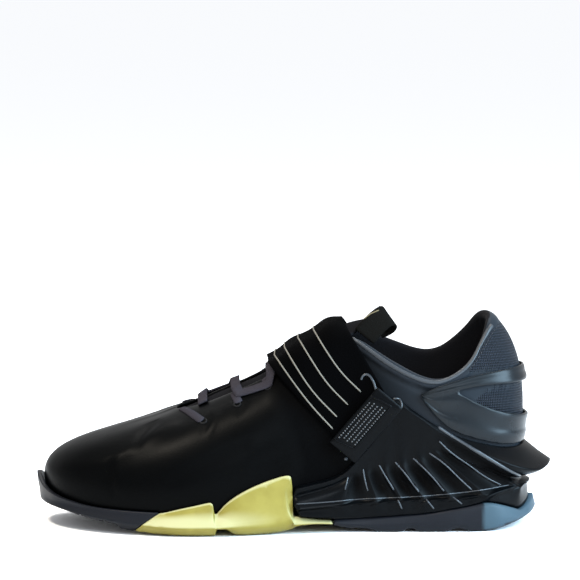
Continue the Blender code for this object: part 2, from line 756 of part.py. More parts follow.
def make_outsole_heel(finish):
    first = share_of_x(WRAP_TAIL[-1][0] * UPPER_LENGTH + 1.0 * MM, LATERAL)
    stack = FOREFOOT_STACK + HEEL_DROP
    stations = [first] + [row[0] for row in CAGE_COLUMNS[1:] if row[0] > first + 0.01]
    sections = []
    for number, u in enumerate(stations):
        deep = number % 7 in (3, 4) and u < BEVEL_SHARE - 0.1
        halves = []
        for side in (LATERAL, MEDIAL):
            t = on_side(u, side)
            foot = foot_point(t)
            out = outward(t)
            floor = plate_top(foot.x)
            rim = max(straight(CAGE_BOTTOM, u) * stack - SEAT, floor)
            reach = HEEL_FLARE * straight(HEEL_OUTLINE, u)
            crease = sole_bottom(foot.x) + 0.45 * (rim - sole_bottom(foot.x))
            low = foot + out * (reach - 1.2 * MM)
            halves.append([
                Vector((*(foot + out * FIT).xy, floor)),
                Vector((*(foot + out * FIT * 1.05).xy, rim)),
                Vector((*(foot + out * (reach - 1.6 * MM)).xy, rim)),
                Vector((*(foot + out * reach).xy, crease)),
                Vector((low.x, low.y, sole_bottom(low.x))),
            ])
        section = halves[0] + halves[1][::-1]
        if deep:
            cut_groove(section, GROOVE_DEPTH)
        sections.append(section)
    return loft("outsole_heel", sections, finish, crease=25)


# Heel counter with its window

COUNTER_LOW = (
    (0.765, 2.76), (0.78, 2.44), (0.80, 2.16), (0.817, 2.02), (0.857, 1.86), (0.90, 1.76),
    (0.94, 1.74), (1.0, 1.79),
)
WINDOW_LOW = (
    (0.765, 2.80), (0.80, 2.74), (0.833, 2.84), (0.857, 2.64), (0.89, 2.46), (0.93, 2.36),
    (1.0, 2.30),
)
WINDOW_HIGH = (
    (0.765, 2.82), (0.80, 2.86), (0.833, 2.92), (0.857, 2.97), (0.89, 3.01), (0.93, 3.02),
    (1.0, 3.03),
)
COUNTER_HIGH = ((0.765, 2.86), (0.80, 3.01), (0.857, 3.18), (0.90, 3.26), (0.94, 3.31), (1.0, 3.34))
WINDOW_START = 0.833


def make_counter(upper, finish):
    """Moulded heel counter, whose window shows the fabric behind it."""
    stack = FOREFOOT_STACK + HEEL_DROP
    half = [0.765, 0.775, 0.792, 0.812, WINDOW_START]
    half += [WINDOW_START + (1 - WINDOW_START) * k / 7 for k in range(1, 8)]
    places = half + [2 - u for u in reversed(half[:-1])]
    outer, inner = [], []
    for t in places:
        u = side_u(t)
        low = max(spline(COUNTER_LOW, u), spline(CAGE_TOP, u) + 0.045) * stack
        window_low = max(spline(WINDOW_LOW, u) * stack, low + COUNTER_SHELL)
        window_high, high = spline(WINDOW_HIGH, u) * stack, spline(COUNTER_HIGH, u) * stack
        body, middle = window_low - low, high - window_high
        rows = (
            (low, 0.55), (low + 0.14 * body, 0.95), (low + 0.34 * body, 1.05),
            (low + 0.44 * body, 0.60), (low + 0.72 * body, 0.75), (low + 0.90 * body, 1.2),
            (window_low, 0.9), (window_high, 0.9), (window_high + 0.25 * middle, 1.2),
            (window_high + 0.55 * middle, 0.65), (window_high + 0.8 * middle, 0.95), (high, 0.55),
        )
        outer.append([wall_point(t, z, FIT + COUNTER_SHELL * share) for z, share in rows])
        inner.append([wall_point(t, z, FIT) for z, share in rows])
    lift_clear(inner, level_normals(outer, inner), tree_of(upper), 1.6 * FIT, outer)
    first = half.index(WINDOW_START)
    last = len(places) - 1 - first

    def keep(i, j):
        return j != 6 or not first <= i < last

    return shell("heel_counter", outer, inner, finish, keep=keep, crease=30)


# Tongue and pull loop

# Middle of the tongue: its height over the footbed as a share of UPPER_RISE.
INSTEP_LINE = (
    (0.245, 0.513), (0.270, 0.544), (0.314, 0.590), (0.358, 0.648), (0.409, 0.702),
    (0.456, 0.748), (0.491, 0.808), (0.534, 0.882), (0.577, 0.952), (0.604, 0.985),
    (0.635, 1.025), (0.675, 1.032), (0.705, 1.004),
)
TONGUE_CENTRE = ((0.245, 0.06), (0.40, 0.07), (0.55, 0.04), (0.70, 0.01))
# Half its width as a share of HALF_BALL.
TONGUE_SPREAD = (
    (0.247, 0.309), (0.30, 0.412), (0.40, 0.490), (0.55, 0.515), (0.600, 0.495), (0.630, 0.412),
    (0.66, 0.278), (0.677, 0.155),
)
TONGUE_CURVE = 0.742 * HALF_BALL


def instep_height(x):
    """Height of the tongue's middle."""
    share = x / UPPER_LENGTH
    ramp = clamp((share - HEEL_RAMP_SHARE) / (1 - HEEL_RAMP_SHARE)) ** 1.3
    return FOREFOOT_STACK + HEEL_DROP * ramp + spline(INSTEP_LINE, share) * UPPER_RISE


def make_tongue(upper, finish):
    """Padded tongue, tucked under the upper's throat edges."""
    tree = tree_of(upper)
    outer, inner = [], []
    columns = 15
    first, last = TONGUE_SPREAD[0][0], TONGUE_SPREAD[-1][0]
    for i in range(columns + 1):
        share = first + (last - first) * i / columns
        x = share * UPPER_LENGTH
        centre = spline(TONGUE_CENTRE, share) * HALF_BALL
        half = HALF_BALL * spline(TONGUE_SPREAD, share)
        tops, lows = [], []
        for j in range(7):
            across = -1 + j / 3
            y = centre + half * across
            z = instep_height(x) - (half * across) ** 2 / (2 * TONGUE_CURVE)
            hit = tree.ray_cast(Vector((x, y, footbed_height(x) + 8 * MM)), UP)[0]
            if hit is not None:
                z = min(z, hit.z - FIT - 0.5 * MM)
            thick = TONGUE_THICKNESS * (1 - 0.62 * abs(across) ** 3)
            tops.append(Vector((x, y, z)))
            lows.append(Vector((x, y, z - thick)))
        outer.append(tops)
        inner.append(lows)
    for grid in (outer, inner):
        settle(grid)
    return shell("tongue", outer, inner, finish, crease=60)


def settle(grid):
    """Evens a sheet's heights a little, never upwards, so that a ray that missed leaves no peak."""
    for _ in range(2):
        heights = [[p.z for p in line] for line in grid]
        for i in range(1, len(grid) - 1):
            for j, p in enumerate(grid[i]):
                p.z = min(p.z, (heights[i - 1][j] + heights[i][j] * 2 + heights[i + 1][j]) / 4 + 0.2 * MM)


# The loop's middle line, in loop widths from the tongue's top end: it climbs beside the tongue on
# the lateral side, folds over and comes back to the tongue's end.
LOOP_PATH = (
    ("along", "across", "rise"),
    (-0.12, -1.19, -0.60), (0.14, -1.09, -0.30), (0.46, -0.96, 0.02), (0.80, -0.82, 0.26),
    (1.00, -0.58, 0.16), (0.94, -0.32, -0.10), (0.72, -0.18, -0.24), (0.50, -0.16, -0.32),
)
LOOP_LEAN = Vector((0.55, -0.25, -0.80))


def make_pull_loop(finish):
    """Webbing loop at the tongue's top end, whose face leans to the lateral side."""
    end = TONGUE_SPREAD[-1][0] * UPPER_LENGTH
    root = Vector((end, 0, instep_height(end)))
    path = [root + Vector(row) * LOOP_WIDTH for row in LOOP_PATH[1:]]
    outer, inner = [], []
    for i, p in enumerate(path):
        ahead = (path[min(i + 1, len(path) - 1)] - path[max(i - 1, 0)]).normalized()
        across = (LOOP_LEAN - ahead * LOOP_LEAN.dot(ahead)).normalized()
        face = ahead.cross(across)
        line = [p + across * LOOP_WIDTH * (k / 2 - 0.5) for k in range(3)]
        outer.append([q + face * LOOP_THICKNESS / 2 for q in line])
        inner.append([q - face * LOOP_THICKNESS / 2 for q in line])
    return shell("pull_loop", outer, inner, finish, crease=40)


# Lace over the tongue, whose folds stand over the throat edges.

EYELET_SHARES = (0.330, 0.400, 0.475, 0.540, 0.607)
LACE_STEPS = 7


def eyelet_point(share, side):
    """Place of an eyelet, a little way down from the throat edge."""
    low, high = 0.05, 0.62
    for _ in range(20):
        mid = (low + high) / 2
        if upper_point(on_side(mid, side), 0.93).x < share * UPPER_LENGTH:
            low = mid
        else:
            high = mid
    return upper_point(on_side((low + high) / 2, side), 0.93, FIT)


def lace_rows(places):
    """The band's rows of three places, from its front edge to its rear one: across the tongue at
    each pair of eyelets, and on to the next pair by a turn in the plane."""
    half = LACE_WIDTH / 2
    rows = []
    for k in range(len(EYELET_SHARES)):
        near, far = (LATERAL, MEDIAL) if k % 2 == 0 else (MEDIAL, LATERAL)
        a, b = places[near][k], places[far][k]
        for step in range(LACE_STEPS + 1):
            middle = a + (b - a) * step / LACE_STEPS
            ahead = Vector((half, 0, 0)) if k % 2 == 0 else Vector((-half, 0, 0))
            rows.append((middle - ahead, middle + ahead))
        if k == len(EYELET_SHARES) - 1:
            break
        c = places[far][k + 1]
        aside = Vector((0, -far, 0)) * LACE_WIDTH
        clear = Vector((1.4 * half, 0, 0))
        for step in range(5):
            along = step / 4
            outer = b + (c - b) * along + aside
            inner = b + clear + (c - b - clear * 2) * along + aside * 0.15
            rows.append((outer, inner) if k % 2 == 0 else (inner, outer))
    return [(p, (p + q) / 2, q) for p, q in rows]


def make_lace(upper, tongue, finish):
    """One flat band of lace, which crosses the tongue at every pair of eyelets and turns at the
    throat edges."""
    tree = tree_of(upper, tongue)
    places = {side: [eyelet_point(s, side) for s in EYELET_SHARES] for side in (LATERAL, MEDIAL)}
    sheet = [
        [tree.ray_cast(Vector((p.x, p.y, 1)), -UP)[0] for p in row]
        for row in lace_rows(places)
    ]
    lift_clear(sheet, [[UP] * 3 for _ in sheet], tree, 1.7 * FIT, rounds=0)
    over = [[p + UP * LACE_THICKNESS for p in line] for line in sheet]
    return shell("lace", over, sheet, finish, crease=30, split=True)


# Strap over the instep, wrapped tightly over upper and lace, and its keepers.

# Where the strap's middle crosses the tongue and where it ends under the keeper: x as a share of
# UPPER_LENGTH, and the end's height over the forefoot's stack as a share of UPPER_RISE.
STRAP_TOP_X = 0.558
STRAP_LOW_X = 0.679
STRAP_LOW_RISE = 0.500
# How far its edges stand from there, as shares of STRAP_WIDTH: it narrows towards its ends.
STRAP_TOP_SPAN = 0.82
STRAP_LOW_SPAN = (0.48, 0.565)


def hull(points):
    """Upper convex hull of points (angle order kept) in a plane."""
    chain = []
    for p in points:
        while len(chain) > 1:
            a, b = chain[-2], chain[-1]
            if (b[0] - a[0]) * (p[1] - a[1]) - (b[1] - a[1]) * (p[0] - a[0]) >= 0:
                chain.pop()
            else:
                break
        chain.append(p)
    return chain


def resample(chain, count):
    """Points evenly spaced along a chain."""
    lengths = [0.0]
    for a, b in zip(chain, chain[1:]):
        lengths.append(lengths[-1] + math.dist(a, b))
    rows_x = list(zip(lengths, [p[0] for p in chain]))
    rows_y = list(zip(lengths, [p[1] for p in chain]))
    steps = [lengths[-1] * k / (count - 1) for k in range(count)]
    return [(straight(rows_x, s), straight(rows_y, s)) for s in steps]


def wrap_line(top, low, tree, count):
    """Where a taut band lies in the plane through top and low, across the shoe. The points run
    from the lateral end to the medial one, each with the direction out of the surface."""
    down = Vector((low.x - top.x, 0, low.z - top.z))
    reach = down.length
    down.normalize()
    side = Vector((0, 1, 0))
    centre = top + down * 0.5 * reach
    far = 2 * BALL_WIDTH
    found = []
    for angle in range(-125, 126, 5):
        turn = math.radians(angle)
        ray = side * math.sin(turn) - down * math.cos(turn)
        hit = tree.ray_cast(centre + ray * far, -ray)[0]
        if hit is not None and (hit - centre).dot(down) < 0.47 * reach:
            found.append(((hit - centre).dot(side), (centre - hit).dot(down)))
    for sign, place in ((-1, 0), (1, len(found) + 1)):
        end = centre + down * 0.5 * reach
        hit = tree.ray_cast(end + side * sign * far, -side * sign)[0]
        found.insert(place, ((hit - centre).dot(side), -0.5 * reach))
    chain = resample(hull(found), count)
    line = []
    for k, (across, height) in enumerate(chain):
        a, b = chain[max(k - 1, 0)], chain[min(k + 1, count - 1)]
        step = Vector((b[0] - a[0], b[1] - a[1])).normalized()
        normal = side * -step.y - down * step.x
        line.append((centre + side * across - down * height, normal))
    return line


def strap_ends(w):
    """Crossing and lower end of the strap at w across it, 0 at its front edge."""
    across = (w - 0.5) * STRAP_WIDTH
    top_x = STRAP_TOP_X * UPPER_LENGTH + STRAP_TOP_SPAN * across
    low_x = STRAP_LOW_X * UPPER_LENGTH + STRAP_LOW_SPAN[0] * across
    low_z = FOREFOOT_STACK + STRAP_LOW_RISE * UPPER_RISE + STRAP_LOW_SPAN[1] * across
    return Vector((top_x, 0, instep_height(top_x))), Vector((low_x, 0, low_z))


STRAP_POINTS = 27


def make_strap(upper, lace, tongue, cage, finish):
    """Woven strap from under the lateral keeper, over the lace, to its end on the medial side."""
    tree = tree_of(upper, lace, tongue, cage)
    columns = 7
    lines = []
    for i in range(columns):
        top, low = strap_ends(i / (columns - 1))
        lines.append(wrap_line(top, low, tree, STRAP_POINTS))
    sheet = [[point for point, _ in line] for line in lines]
    normals = [[normal for _, normal in line] for line in lines]
    for _ in range(2):
        lift_clear(sheet, normals, tree, STRAP_FIT)
    outer, inner = [], []
    for i in range(columns):
        thin = 0.25 if i in (0, columns - 1) else 0.0
        inner.append([p + n * thin * STRAP_THICKNESS for p, n in zip(sheet[i], normals[i])])
        outer.append([p + n * (1 - thin) * STRAP_THICKNESS for p, n in zip(sheet[i], normals[i])])
    return shell("strap", outer, inner, finish, crease=40, split=True)


# How far the strap's end lies past the keeper's middle, as a share of KEEPER_WIDTH.
KEEPER_PAST_END = 0.15


def make_keeper(name, side, upper, strap, cage, finish):
    """Moulded bridge over one end of the strap, turned in to the upper at both ends."""
    tree = tree_of(upper, strap, cage)
    y_sign = -1 if side == LATERAL else 1
    front, rear = strap_ends(0)[1], strap_ends(1)[1]
    axis = (rear - front).normalized()
    across = Vector((axis.z, 0, -axis.x))
    middle = (front + rear) / 2 - across * KEEPER_PAST_END * KEEPER_WIDTH
    rows_a, rows_b = 9, 5
    out = Vector((0, y_sign, 0))
    sheet = []
    for i in range(rows_a):
        a = (i / (rows_a - 1) - 0.5) * KEEPER_LENGTH
        line = [middle + axis * a + across * (j / (rows_b - 1) - 0.5) * KEEPER_WIDTH for j in range(rows_b)]
        for p in line:
            p.y = y_sign * HALF_BALL * 0.6
        sheet.append(line)
    normals = [[out] * rows_b for _ in range(rows_a)]
    lift_clear(sheet, normals, tree, 1.7 * FIT)
    outer = []
    for i in range(rows_a):
        line = []
        for j in range(rows_b):
            border = i in (0, rows_a - 1) or j in (0, rows_b - 1)
            line.append(sheet[i][j] + out * KEEPER_THICKNESS * (0.65 if border else 1))
        outer.append(line)
    inner = sheet
    return shell(name, outer, inner, finish, crease=40)


def centre_on_floor(frame):
    """Moves the shoe so that the origin is at the middle of its box, on the floor."""
    bpy.context.view_layer.update()
    graph = bpy.context.evaluated_depsgraph_get()
    corners = []
    for shape in frame.children:
        solid = shape.evaluated_get(graph)
        corners += [solid.matrix_world @ v.co for v in solid.data.vertices]
    low = Vector(min(c[k] for c in corners) for k in range(3))
    high = Vector(max(c[k] for c in corners) for k in range(3))
    frame.location = Vector((-(low.x + high.x) / 2, -(low.y + high.y) / 2, -low.z))


def main():
    for item in list(bpy.data.objects):
        bpy.data.objects.remove(item)
    frame = bpy.data.objects.new("shoe", None)
    bpy.context.scene.collection.objects.link(frame)

    leather = material("black_leather", (0.012, 0.012, 0.014), 0.42)
    moulded = material("black_moulding", (0.018, 0.021, 0.026), 0.38)
    rubber = material("black_rubber", (0.022, 0.024, 0.028), 0.6)
    yellow = material("yellow_rubber", (0.60, 0.56, 0.16), 0.5)
    fabric = material("black_fabric", (0.010, 0.010, 0.012), 0.9)
    cord = material("dark_lace", (0.020, 0.018, 0.022), 0.85)

    upper = make_upper(leather)
    make_insole(fabric)
    make_outsole_toe(rubber)
    make_outsole_wrap(yellow)
    make_outsole_heel(rubber)
    make_wedge(moulded)
    cage = make_cage(upper, moulded)
    make_counter(upper, moulded)
    tongue = make_tongue(upper, fabric)
    lace = make_lace(upper, tongue, cord)
    strap = make_strap(upper, lace, tongue, cage, fabric)
    make_keeper("strap_keeper_lateral", LATERAL, upper, strap, cage, moulded)
    make_keeper("strap_keeper_medial", MEDIAL, upper, strap, cage, moulded)
    make_pull_loop(fabric)
    centre_on_floor(frame)


main()
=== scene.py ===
"""The looks of a black weightlifting shoe with a yellow forefoot wrap: finish, seams, creases and lace.

The toe points to -X, the outer (lateral) side to -Y and +Z is up. Sizes are in metres.
"""
import math

import bmesh
import bpy
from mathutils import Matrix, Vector
from mathutils.bvhtree import BVHTree


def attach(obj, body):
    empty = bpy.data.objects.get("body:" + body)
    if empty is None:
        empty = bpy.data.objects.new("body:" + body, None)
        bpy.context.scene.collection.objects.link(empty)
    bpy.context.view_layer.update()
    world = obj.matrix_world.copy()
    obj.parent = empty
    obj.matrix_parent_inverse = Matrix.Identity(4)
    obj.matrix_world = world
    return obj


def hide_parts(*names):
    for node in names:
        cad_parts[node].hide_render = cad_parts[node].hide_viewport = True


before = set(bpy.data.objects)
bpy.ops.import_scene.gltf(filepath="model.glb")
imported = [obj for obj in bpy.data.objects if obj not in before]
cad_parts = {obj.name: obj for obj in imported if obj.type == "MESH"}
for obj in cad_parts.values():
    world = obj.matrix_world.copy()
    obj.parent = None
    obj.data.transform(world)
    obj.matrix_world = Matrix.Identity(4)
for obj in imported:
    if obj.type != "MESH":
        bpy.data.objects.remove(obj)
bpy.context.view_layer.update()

MM = 0.001
# The side view: its width at the shoe, and the place of its middle. Places are in mm to the right of
# the shoe's middle and above the floor.
VIEW_SPAN = 339.3 * MM
VIEW_MIDDLE = (-2.63, 135.43)
# The camera's tilt and turn in degrees, and its distance from the shoe's middle.
CAMERA_ELEVATION = 6.0
CAMERA_AZIMUTH = -1.5
CAMERA_DISTANCE = 2.2
SENSOR = 36 * MM


# Camera, floor and lights

def view_axes():
    """Directions of the side view: to the right, up, and back to the camera."""
    tilt, turn = math.radians(CAMERA_ELEVATION), math.radians(CAMERA_AZIMUTH)
    back = Vector((math.sin(turn) * math.cos(tilt), -math.cos(turn) * math.cos(tilt), math.sin(tilt)))
    aside = Vector((math.cos(turn), math.sin(turn), 0))
    return aside, back.cross(aside), back


def on_view(across, rise):
    """Point at a place of the side view, on the plane through the shoe's middle that faces the camera."""
    aside, upward, _ = view_axes()
    return (aside * across + upward * rise) * MM


def eye():
    """Where the camera stands."""
    return on_view(*VIEW_MIDDLE) + view_axes()[2] * CAMERA_DISTANCE


def make_camera():
    """Long lens from the lateral side, a little above the floor."""
    camera = bpy.data.objects.new("camera", bpy.data.cameras.new("camera"))
    camera.data.sensor_width = SENSOR * 1000
    camera.data.lens = SENSOR * 1000 * CAMERA_DISTANCE / VIEW_SPAN
    camera.location = eye()
    camera.rotation_euler = view_axes()[2].to_track_quat("Z", "Y").to_euler()
    bpy.context.scene.collection.objects.link(camera)
    bpy.context.scene.camera = camera


# All lights aim at the middle of the shoe.
LIT_POINT = Vector((0, 0, 50 * MM))
# Half the floor's side, far enough to pass out of sight.
FLOOR_REACH = 40.0


def area_light(name, place, size, watts, colour):
    light = bpy.data.lights.new(name, "AREA")
    light.shape = "RECTANGLE"
    light.size, light.size_y = size
    light.energy = watts
    light.color = colour
    lamp = bpy.data.objects.new(name, light)
    lamp.location = Vector(place)
    aim = LIT_POINT - lamp.location
    lamp.rotation_euler = aim.to_track_quat("-Z", "Y").to_euler()
    bpy.context.scene.collection.objects.link(lamp)


def make_stage():
    """Large pale floor under an even white sky, with a warm key, two strips and a low fill."""
    mesh = bpy.data.meshes.new("floor")
    corners = [(x * FLOOR_REACH, y * FLOOR_REACH, 0) for x, y in ((-1, -1), (1, -1), (1, 1), (-1, 1))]
    mesh.from_pydata(corners, [], [(0, 1, 2, 3)])
    floor = bpy.data.objects.new("floor", mesh)
    bpy.context.scene.collection.objects.link(floor)
    finish = Finish("pale_floor", (0.945, 0.95, 0.965), 0.9)
    finish.set("Specular IOR Level", 0.0)
    mesh.materials.append(finish.material)
    world = bpy.data.worlds.new("studio")
    world.use_nodes = True
    sky = world.node_tree.nodes["Background"]
    sky.inputs["Color"].default_value = (0.98, 0.99, 1.0, 1)
    sky.inputs["Strength"].default_value = 1.02
    bpy.context.scene.world = world
    bpy.context.scene.view_settings.view_transform = "Standard"
    area_light("key", (-0.55, -0.55, 1.3), (0.35, 0.2), 21, (1.0, 0.91, 0.78))
    area_light("top_strip", (0.1, 0.5, 1.1), (1.0, 0.15), 10, (1.0, 0.98, 0.95))
    area_light("heel_strip", (1.0, -0.45, 0.5), (0.60, 0.9), 42, (0.55, 0.80, 1.0))
    area_light("low_fill", (0.45, -1.3, 0.75), (0.5, 0.12), 9, (0.80, 0.90, 1.0))


# Materials

# How far the tread's ribs repeat along the shoe and across it, and the rows of the heel's knit.
TREAD_PITCH = (4 * MM, 9 * MM)
KNIT_PITCH = 2.1 * MM
# Where the upper's front leather passes into its blue-black rear, along the shoe.
REAR_PANEL = (30 * MM, 90 * MM)
BLACK = (0.0005, 0.0006, 0.0007)
REAR_BLACK = (0.014, 0.017, 0.021)
RUBBER_BLACK = (0.0045, 0.0052, 0.0075)


class Finish:
    """A Principled material that is built up node by node."""

    def __init__(self, name, colour, roughness):
        self.material = bpy.data.materials.new(name)
        self.material.use_nodes = True
        self.nodes = self.material.node_tree.nodes
        self.links = self.material.node_tree.links
        self.shader = self.nodes["Principled BSDF"]
        self.set("Base Color", (*colour, 1))
        self.set("Roughness", roughness)
        self.place = self.nodes.new("ShaderNodeTexCoord").outputs["Object"]
        self.normal = None

    def set(self, socket, value):
        self.shader.inputs[socket].default_value = value

    def link(self, output, socket):
        self.links.new(output, self.shader.inputs[socket])

    def math(self, operation, first, second=None):
        node = self.nodes.new("ShaderNodeMath")
        node.operation = operation
        for socket, value in zip(node.inputs, (first, second)):
            if isinstance(value, bpy.types.NodeSocket):
                self.links.new(value, socket)
            elif value is not None:
                socket.default_value = value
        return node.outputs[0]

    def noise(self, size, detail=3.0):
        """Cloudy noise whose patches are about size across."""
        node = self.nodes.new("ShaderNodeTexNoise")
        node.inputs["Scale"].default_value = 1 / size
        node.inputs["Detail"].default_value = detail
        self.links.new(self.place, node.inputs["Vector"])
        return node.outputs["Fac"]

    def cells(self, size):
        """Rounded cells of about this size, lowest at their middles."""
        node = self.nodes.new("ShaderNodeTexVoronoi")
        node.inputs["Scale"].default_value = 1 / size
        self.links.new(self.place, node.inputs["Vector"])
        return node.outputs["Distance"]

    def attribute(self, name):
        """A number that the mesh holds at its points."""
        node = self.nodes.new("ShaderNodeAttribute")
        node.attribute_name = name
        return node.outputs["Fac"]

    def parts(self, vector):
        """X, Y and Z of a vector."""
        node = self.nodes.new("ShaderNodeSeparateXYZ")
        self.links.new(vector, node.inputs[0])
        return node.outputs

    def wave(self, value, pitch):
        return self.math("SINE", self.math("MULTIPLY", value, 2 * math.pi / pitch))

    def knit_rows(self, pitch):
        """Staggered rows of small pits that run round the heel."""
        x, y, z = self.parts(self.place)
        round_heel = self.math("SUBTRACT", x, self.math("ABSOLUTE", y))
        rising = self.math("ADD", round_heel, z)
        falling = self.math("SUBTRACT", round_heel, z)
        slanted = pitch * math.sqrt(2)
        return self.math("MULTIPLY", self.wave(rising, slanted), self.wave(falling, slanted))

    def tread(self):
        """Fine cross ribs on the faces that look down."""
        facing = self.parts(self.nodes.new("ShaderNodeNewGeometry").outputs["Normal"])[2]
        under = self.map_range(facing, -0.85, -0.97)
        x, y, _ = self.parts(self.place)
        ribs = self.math("MULTIPLY", self.wave(x, TREAD_PITCH[0]), self.wave(y, TREAD_PITCH[1]))
        return self.math("MULTIPLY", ribs, under)

    def map_range(self, value, low, high, to_low=0.0, to_high=1.0):
        node = self.nodes.new("ShaderNodeMapRange")
        for socket, number in zip(node.inputs[1:5], (low, high, to_low, to_high)):
            socket.default_value = number
        self.links.new(value, node.inputs[0])
        return node.outputs[0]

    def mix(self, share, first, second):
        """Colour between two, each a colour or a socket."""
        node = self.nodes.new("ShaderNodeMix")
        node.data_type = "RGBA"
        self.links.new(share, node.inputs["Factor"])
        for socket, value in ((node.inputs[6], first), (node.inputs[7], second)):
            if isinstance(value, bpy.types.NodeSocket):
                self.links.new(value, socket)
            else:
                socket.default_value = (*value, 1)
        return node.outputs[2]

    def bump(self, height, depth, strength=1.0):
        """Adds relief whose highest point stands depth above its lowest."""
        node = self.nodes.new("ShaderNodeBump")
        node.inputs["Distance"].default_value = depth
        node.inputs["Strength"].default_value = strength
        self.links.new(height, node.inputs["Height"])
        if self.normal is not None:
            self.links.new(self.normal, node.inputs["Normal"])
        self.normal = node.outputs["Normal"]
        self.link(self.normal, "Normal")


def leather():
    """Smooth black synthetic leather with a fine grain and soft gloss, knit in its fabric zones, with
    painted shade in the recess below the strap and a painted highlight on the knit's rows.
    """
    finish = Finish("black_leather", BLACK, 0.36)
    # Painted shade: the recess below the strap is made near-black and rougher.
    painted_shade = finish.attribute("painted_shade")
    cloud = finish.map_range(finish.noise(30 * MM, 4), 0.3, 0.7, 0.32, 0.44)
    finish.link(finish.math("ADD", cloud, finish.math("MULTIPLY", painted_shade, 0.4)), "Roughness")
    skin = finish.mix(finish.map_range(finish.parts(finish.place)[0], *REAR_PANEL), BLACK, REAR_BLACK)
    skin = finish.mix(finish.attribute("collar"), skin, (0.012, 0.0145, 0.018))
    skin = finish.mix(painted_shade, skin, (0.0004, 0.0004, 0.0005))
    # Painted highlight: the knit's rows are lightened to blue-grey where they stand out; the knit's relief
    # itself is real.
    rows = finish.math("MULTIPLY", finish.knit_rows(KNIT_PITCH), finish.attribute("fabric"))
    finish.link(finish.mix(finish.map_range(rows, 0.1, 0.8), skin, (0.030, 0.034, 0.046)), "Base Color")
    finish.set("Specular IOR Level", 0.025)
    finish.bump(finish.cells(1.1 * MM), 0.04 * MM, 0.4)
    finish.bump(finish.noise(7 * MM, 2), 0.12 * MM, 0.3)
    finish.bump(rows, 0.8 * MM)
    return finish.material


def lining():
    """Dark knit inside the collar."""
    finish = Finish("collar_lining", (0.004, 0.004, 0.005), 0.95)
    finish.set("Specular IOR Level", 0.08)
    finish.bump(finish.cells(0.8 * MM), 0.15 * MM, 0.8)
    return finish.material


def moulding(name, colour, gloss):
    """Satin moulded plastic, with painted shade at the foot of its grooves."""
    finish = Finish(name, colour, 0.28)
    cloud = finish.map_range(finish.noise(20 * MM), 0.3, 0.7, 0.25, 0.35)
    groove = finish.attribute("groove")
    finish.link(finish.math("ADD", cloud, finish.math("MULTIPLY", groove, 0.5)), "Roughness")
    # Painted shade: near-black where the groove mask is high.
    finish.link(finish.mix(groove, colour, (0.0003, 0.0003, 0.0004)), "Base Color")
    finish.set("Specular IOR Level", gloss)
    finish.bump(finish.noise(0.5 * MM, 2), 0.03 * MM, 0.4)
    return finish.material


def black_rubber():
    """Matt outsole rubber with a fine grit, and a painted blue reflection on the heel plate's bevelled rear
    corner.
    """
    finish = Finish("black_rubber", RUBBER_BLACK, 0.45)
    # Painted reflection: the rear corner is lightened to a cool blue.
    finish.link(finish.mix(finish.attribute("painted_reflection"), RUBBER_BLACK, (0.030, 0.051, 0.066)), "Base Color")
    finish.set("Specular IOR Level", 0.11)
    finish.bump(finish.noise(0.8 * MM, 3), 0.04 * MM, 0.5)
    finish.bump(finish.tread(), 0.6 * MM)
    return finish.material


def yellow_rubber():
    """Pale yellow rubber with a marbled film, and a painted pale highlight where its edges face upwards."""
    light, deep, highlight_cream = (0.188, 0.158, 0.031), (0.150, 0.122, 0.019), (0.30, 0.285, 0.14)
    finish = Finish("yellow_rubber", light, 0.45)
    body = finish.mix(finish.map_range(finish.noise(14 * MM, 5), 0.35, 0.65), light, deep)
    # Painted highlight: the faces that look upwards are made pale.
    finish.link(finish.mix(finish.attribute("edge"), body, highlight_cream), "Base Color")
    finish.set("Specular IOR Level", 0.18)
    finish.bump(finish.noise(0.6 * MM, 2), 0.04 * MM, 0.5)
    finish.bump(finish.tread(), 0.6 * MM)
    return finish.material


def fabric(name, colour, thread, depth, roughness=0.9, gloss=0.01):
    """Woven or knitted cloth: threads about this wide, with this much relief."""
    finish = Finish(name, colour, roughness)
    finish.set("Specular IOR Level", gloss)
    finish.bump(finish.cells(thread), depth, 0.8)
    return finish.material


def plain(name, colour, roughness, gloss=0.3):
    """Finish of cords, stitches and small parts, with a fine grain."""
    finish = Finish(name, colour, roughness)
    finish.set("Specular IOR Level", gloss)
    finish.bump(finish.noise(0.4 * MM, 2), 0.02 * MM, 0.5)
    return finish.material


# Shapes from the frame

def quads_of(node):
    """A node's mesh with its triangles joined back into quads."""
    body = bmesh.new()
    body.from_mesh(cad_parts[node].data)
    bmesh.ops.remove_doubles(body, verts=body.verts, dist=0.01 * MM)
    bmesh.ops.join_triangles(
        body, faces=body.faces, angle_face_threshold=math.radians(40), angle_shape_threshold=math.radians(60)
    )
    return body


def refined(node, finish, levels=2, crease=32.0, sharpness=0.9):
    """A finer, rounder piece in place of a node: edges that turn more than crease stay crisp."""
    body = quads_of(node)
    layer = body.edges.layers.float.new("crease_edge")
    for edge in body.edges:
        if len(edge.link_faces) == 2 and edge.calc_face_angle(0) > math.radians(crease):
            edge[layer] = sharpness
    mesh = bpy.data.meshes.new(f"{node}_look")
    body.to_mesh(mesh)
    body.free()
    piece = bpy.data.objects.new(f"{node}_look", mesh)
    bpy.context.scene.collection.objects.link(piece)
    if levels:
        smooth = piece.modifiers.new("smooth", "SUBSURF")
        smooth.levels = smooth.render_levels = levels
        graph = bpy.context.evaluated_depsgraph_get()
        finer = bpy.data.meshes.new_from_object(piece.evaluated_get(graph))
        piece.modifiers.clear()
        piece.data = finer
    piece.data.shade_smooth()
    piece.data.materials.clear()
    piece.data.materials.append(finish)
    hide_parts(node)
    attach(piece, "root")
    return piece


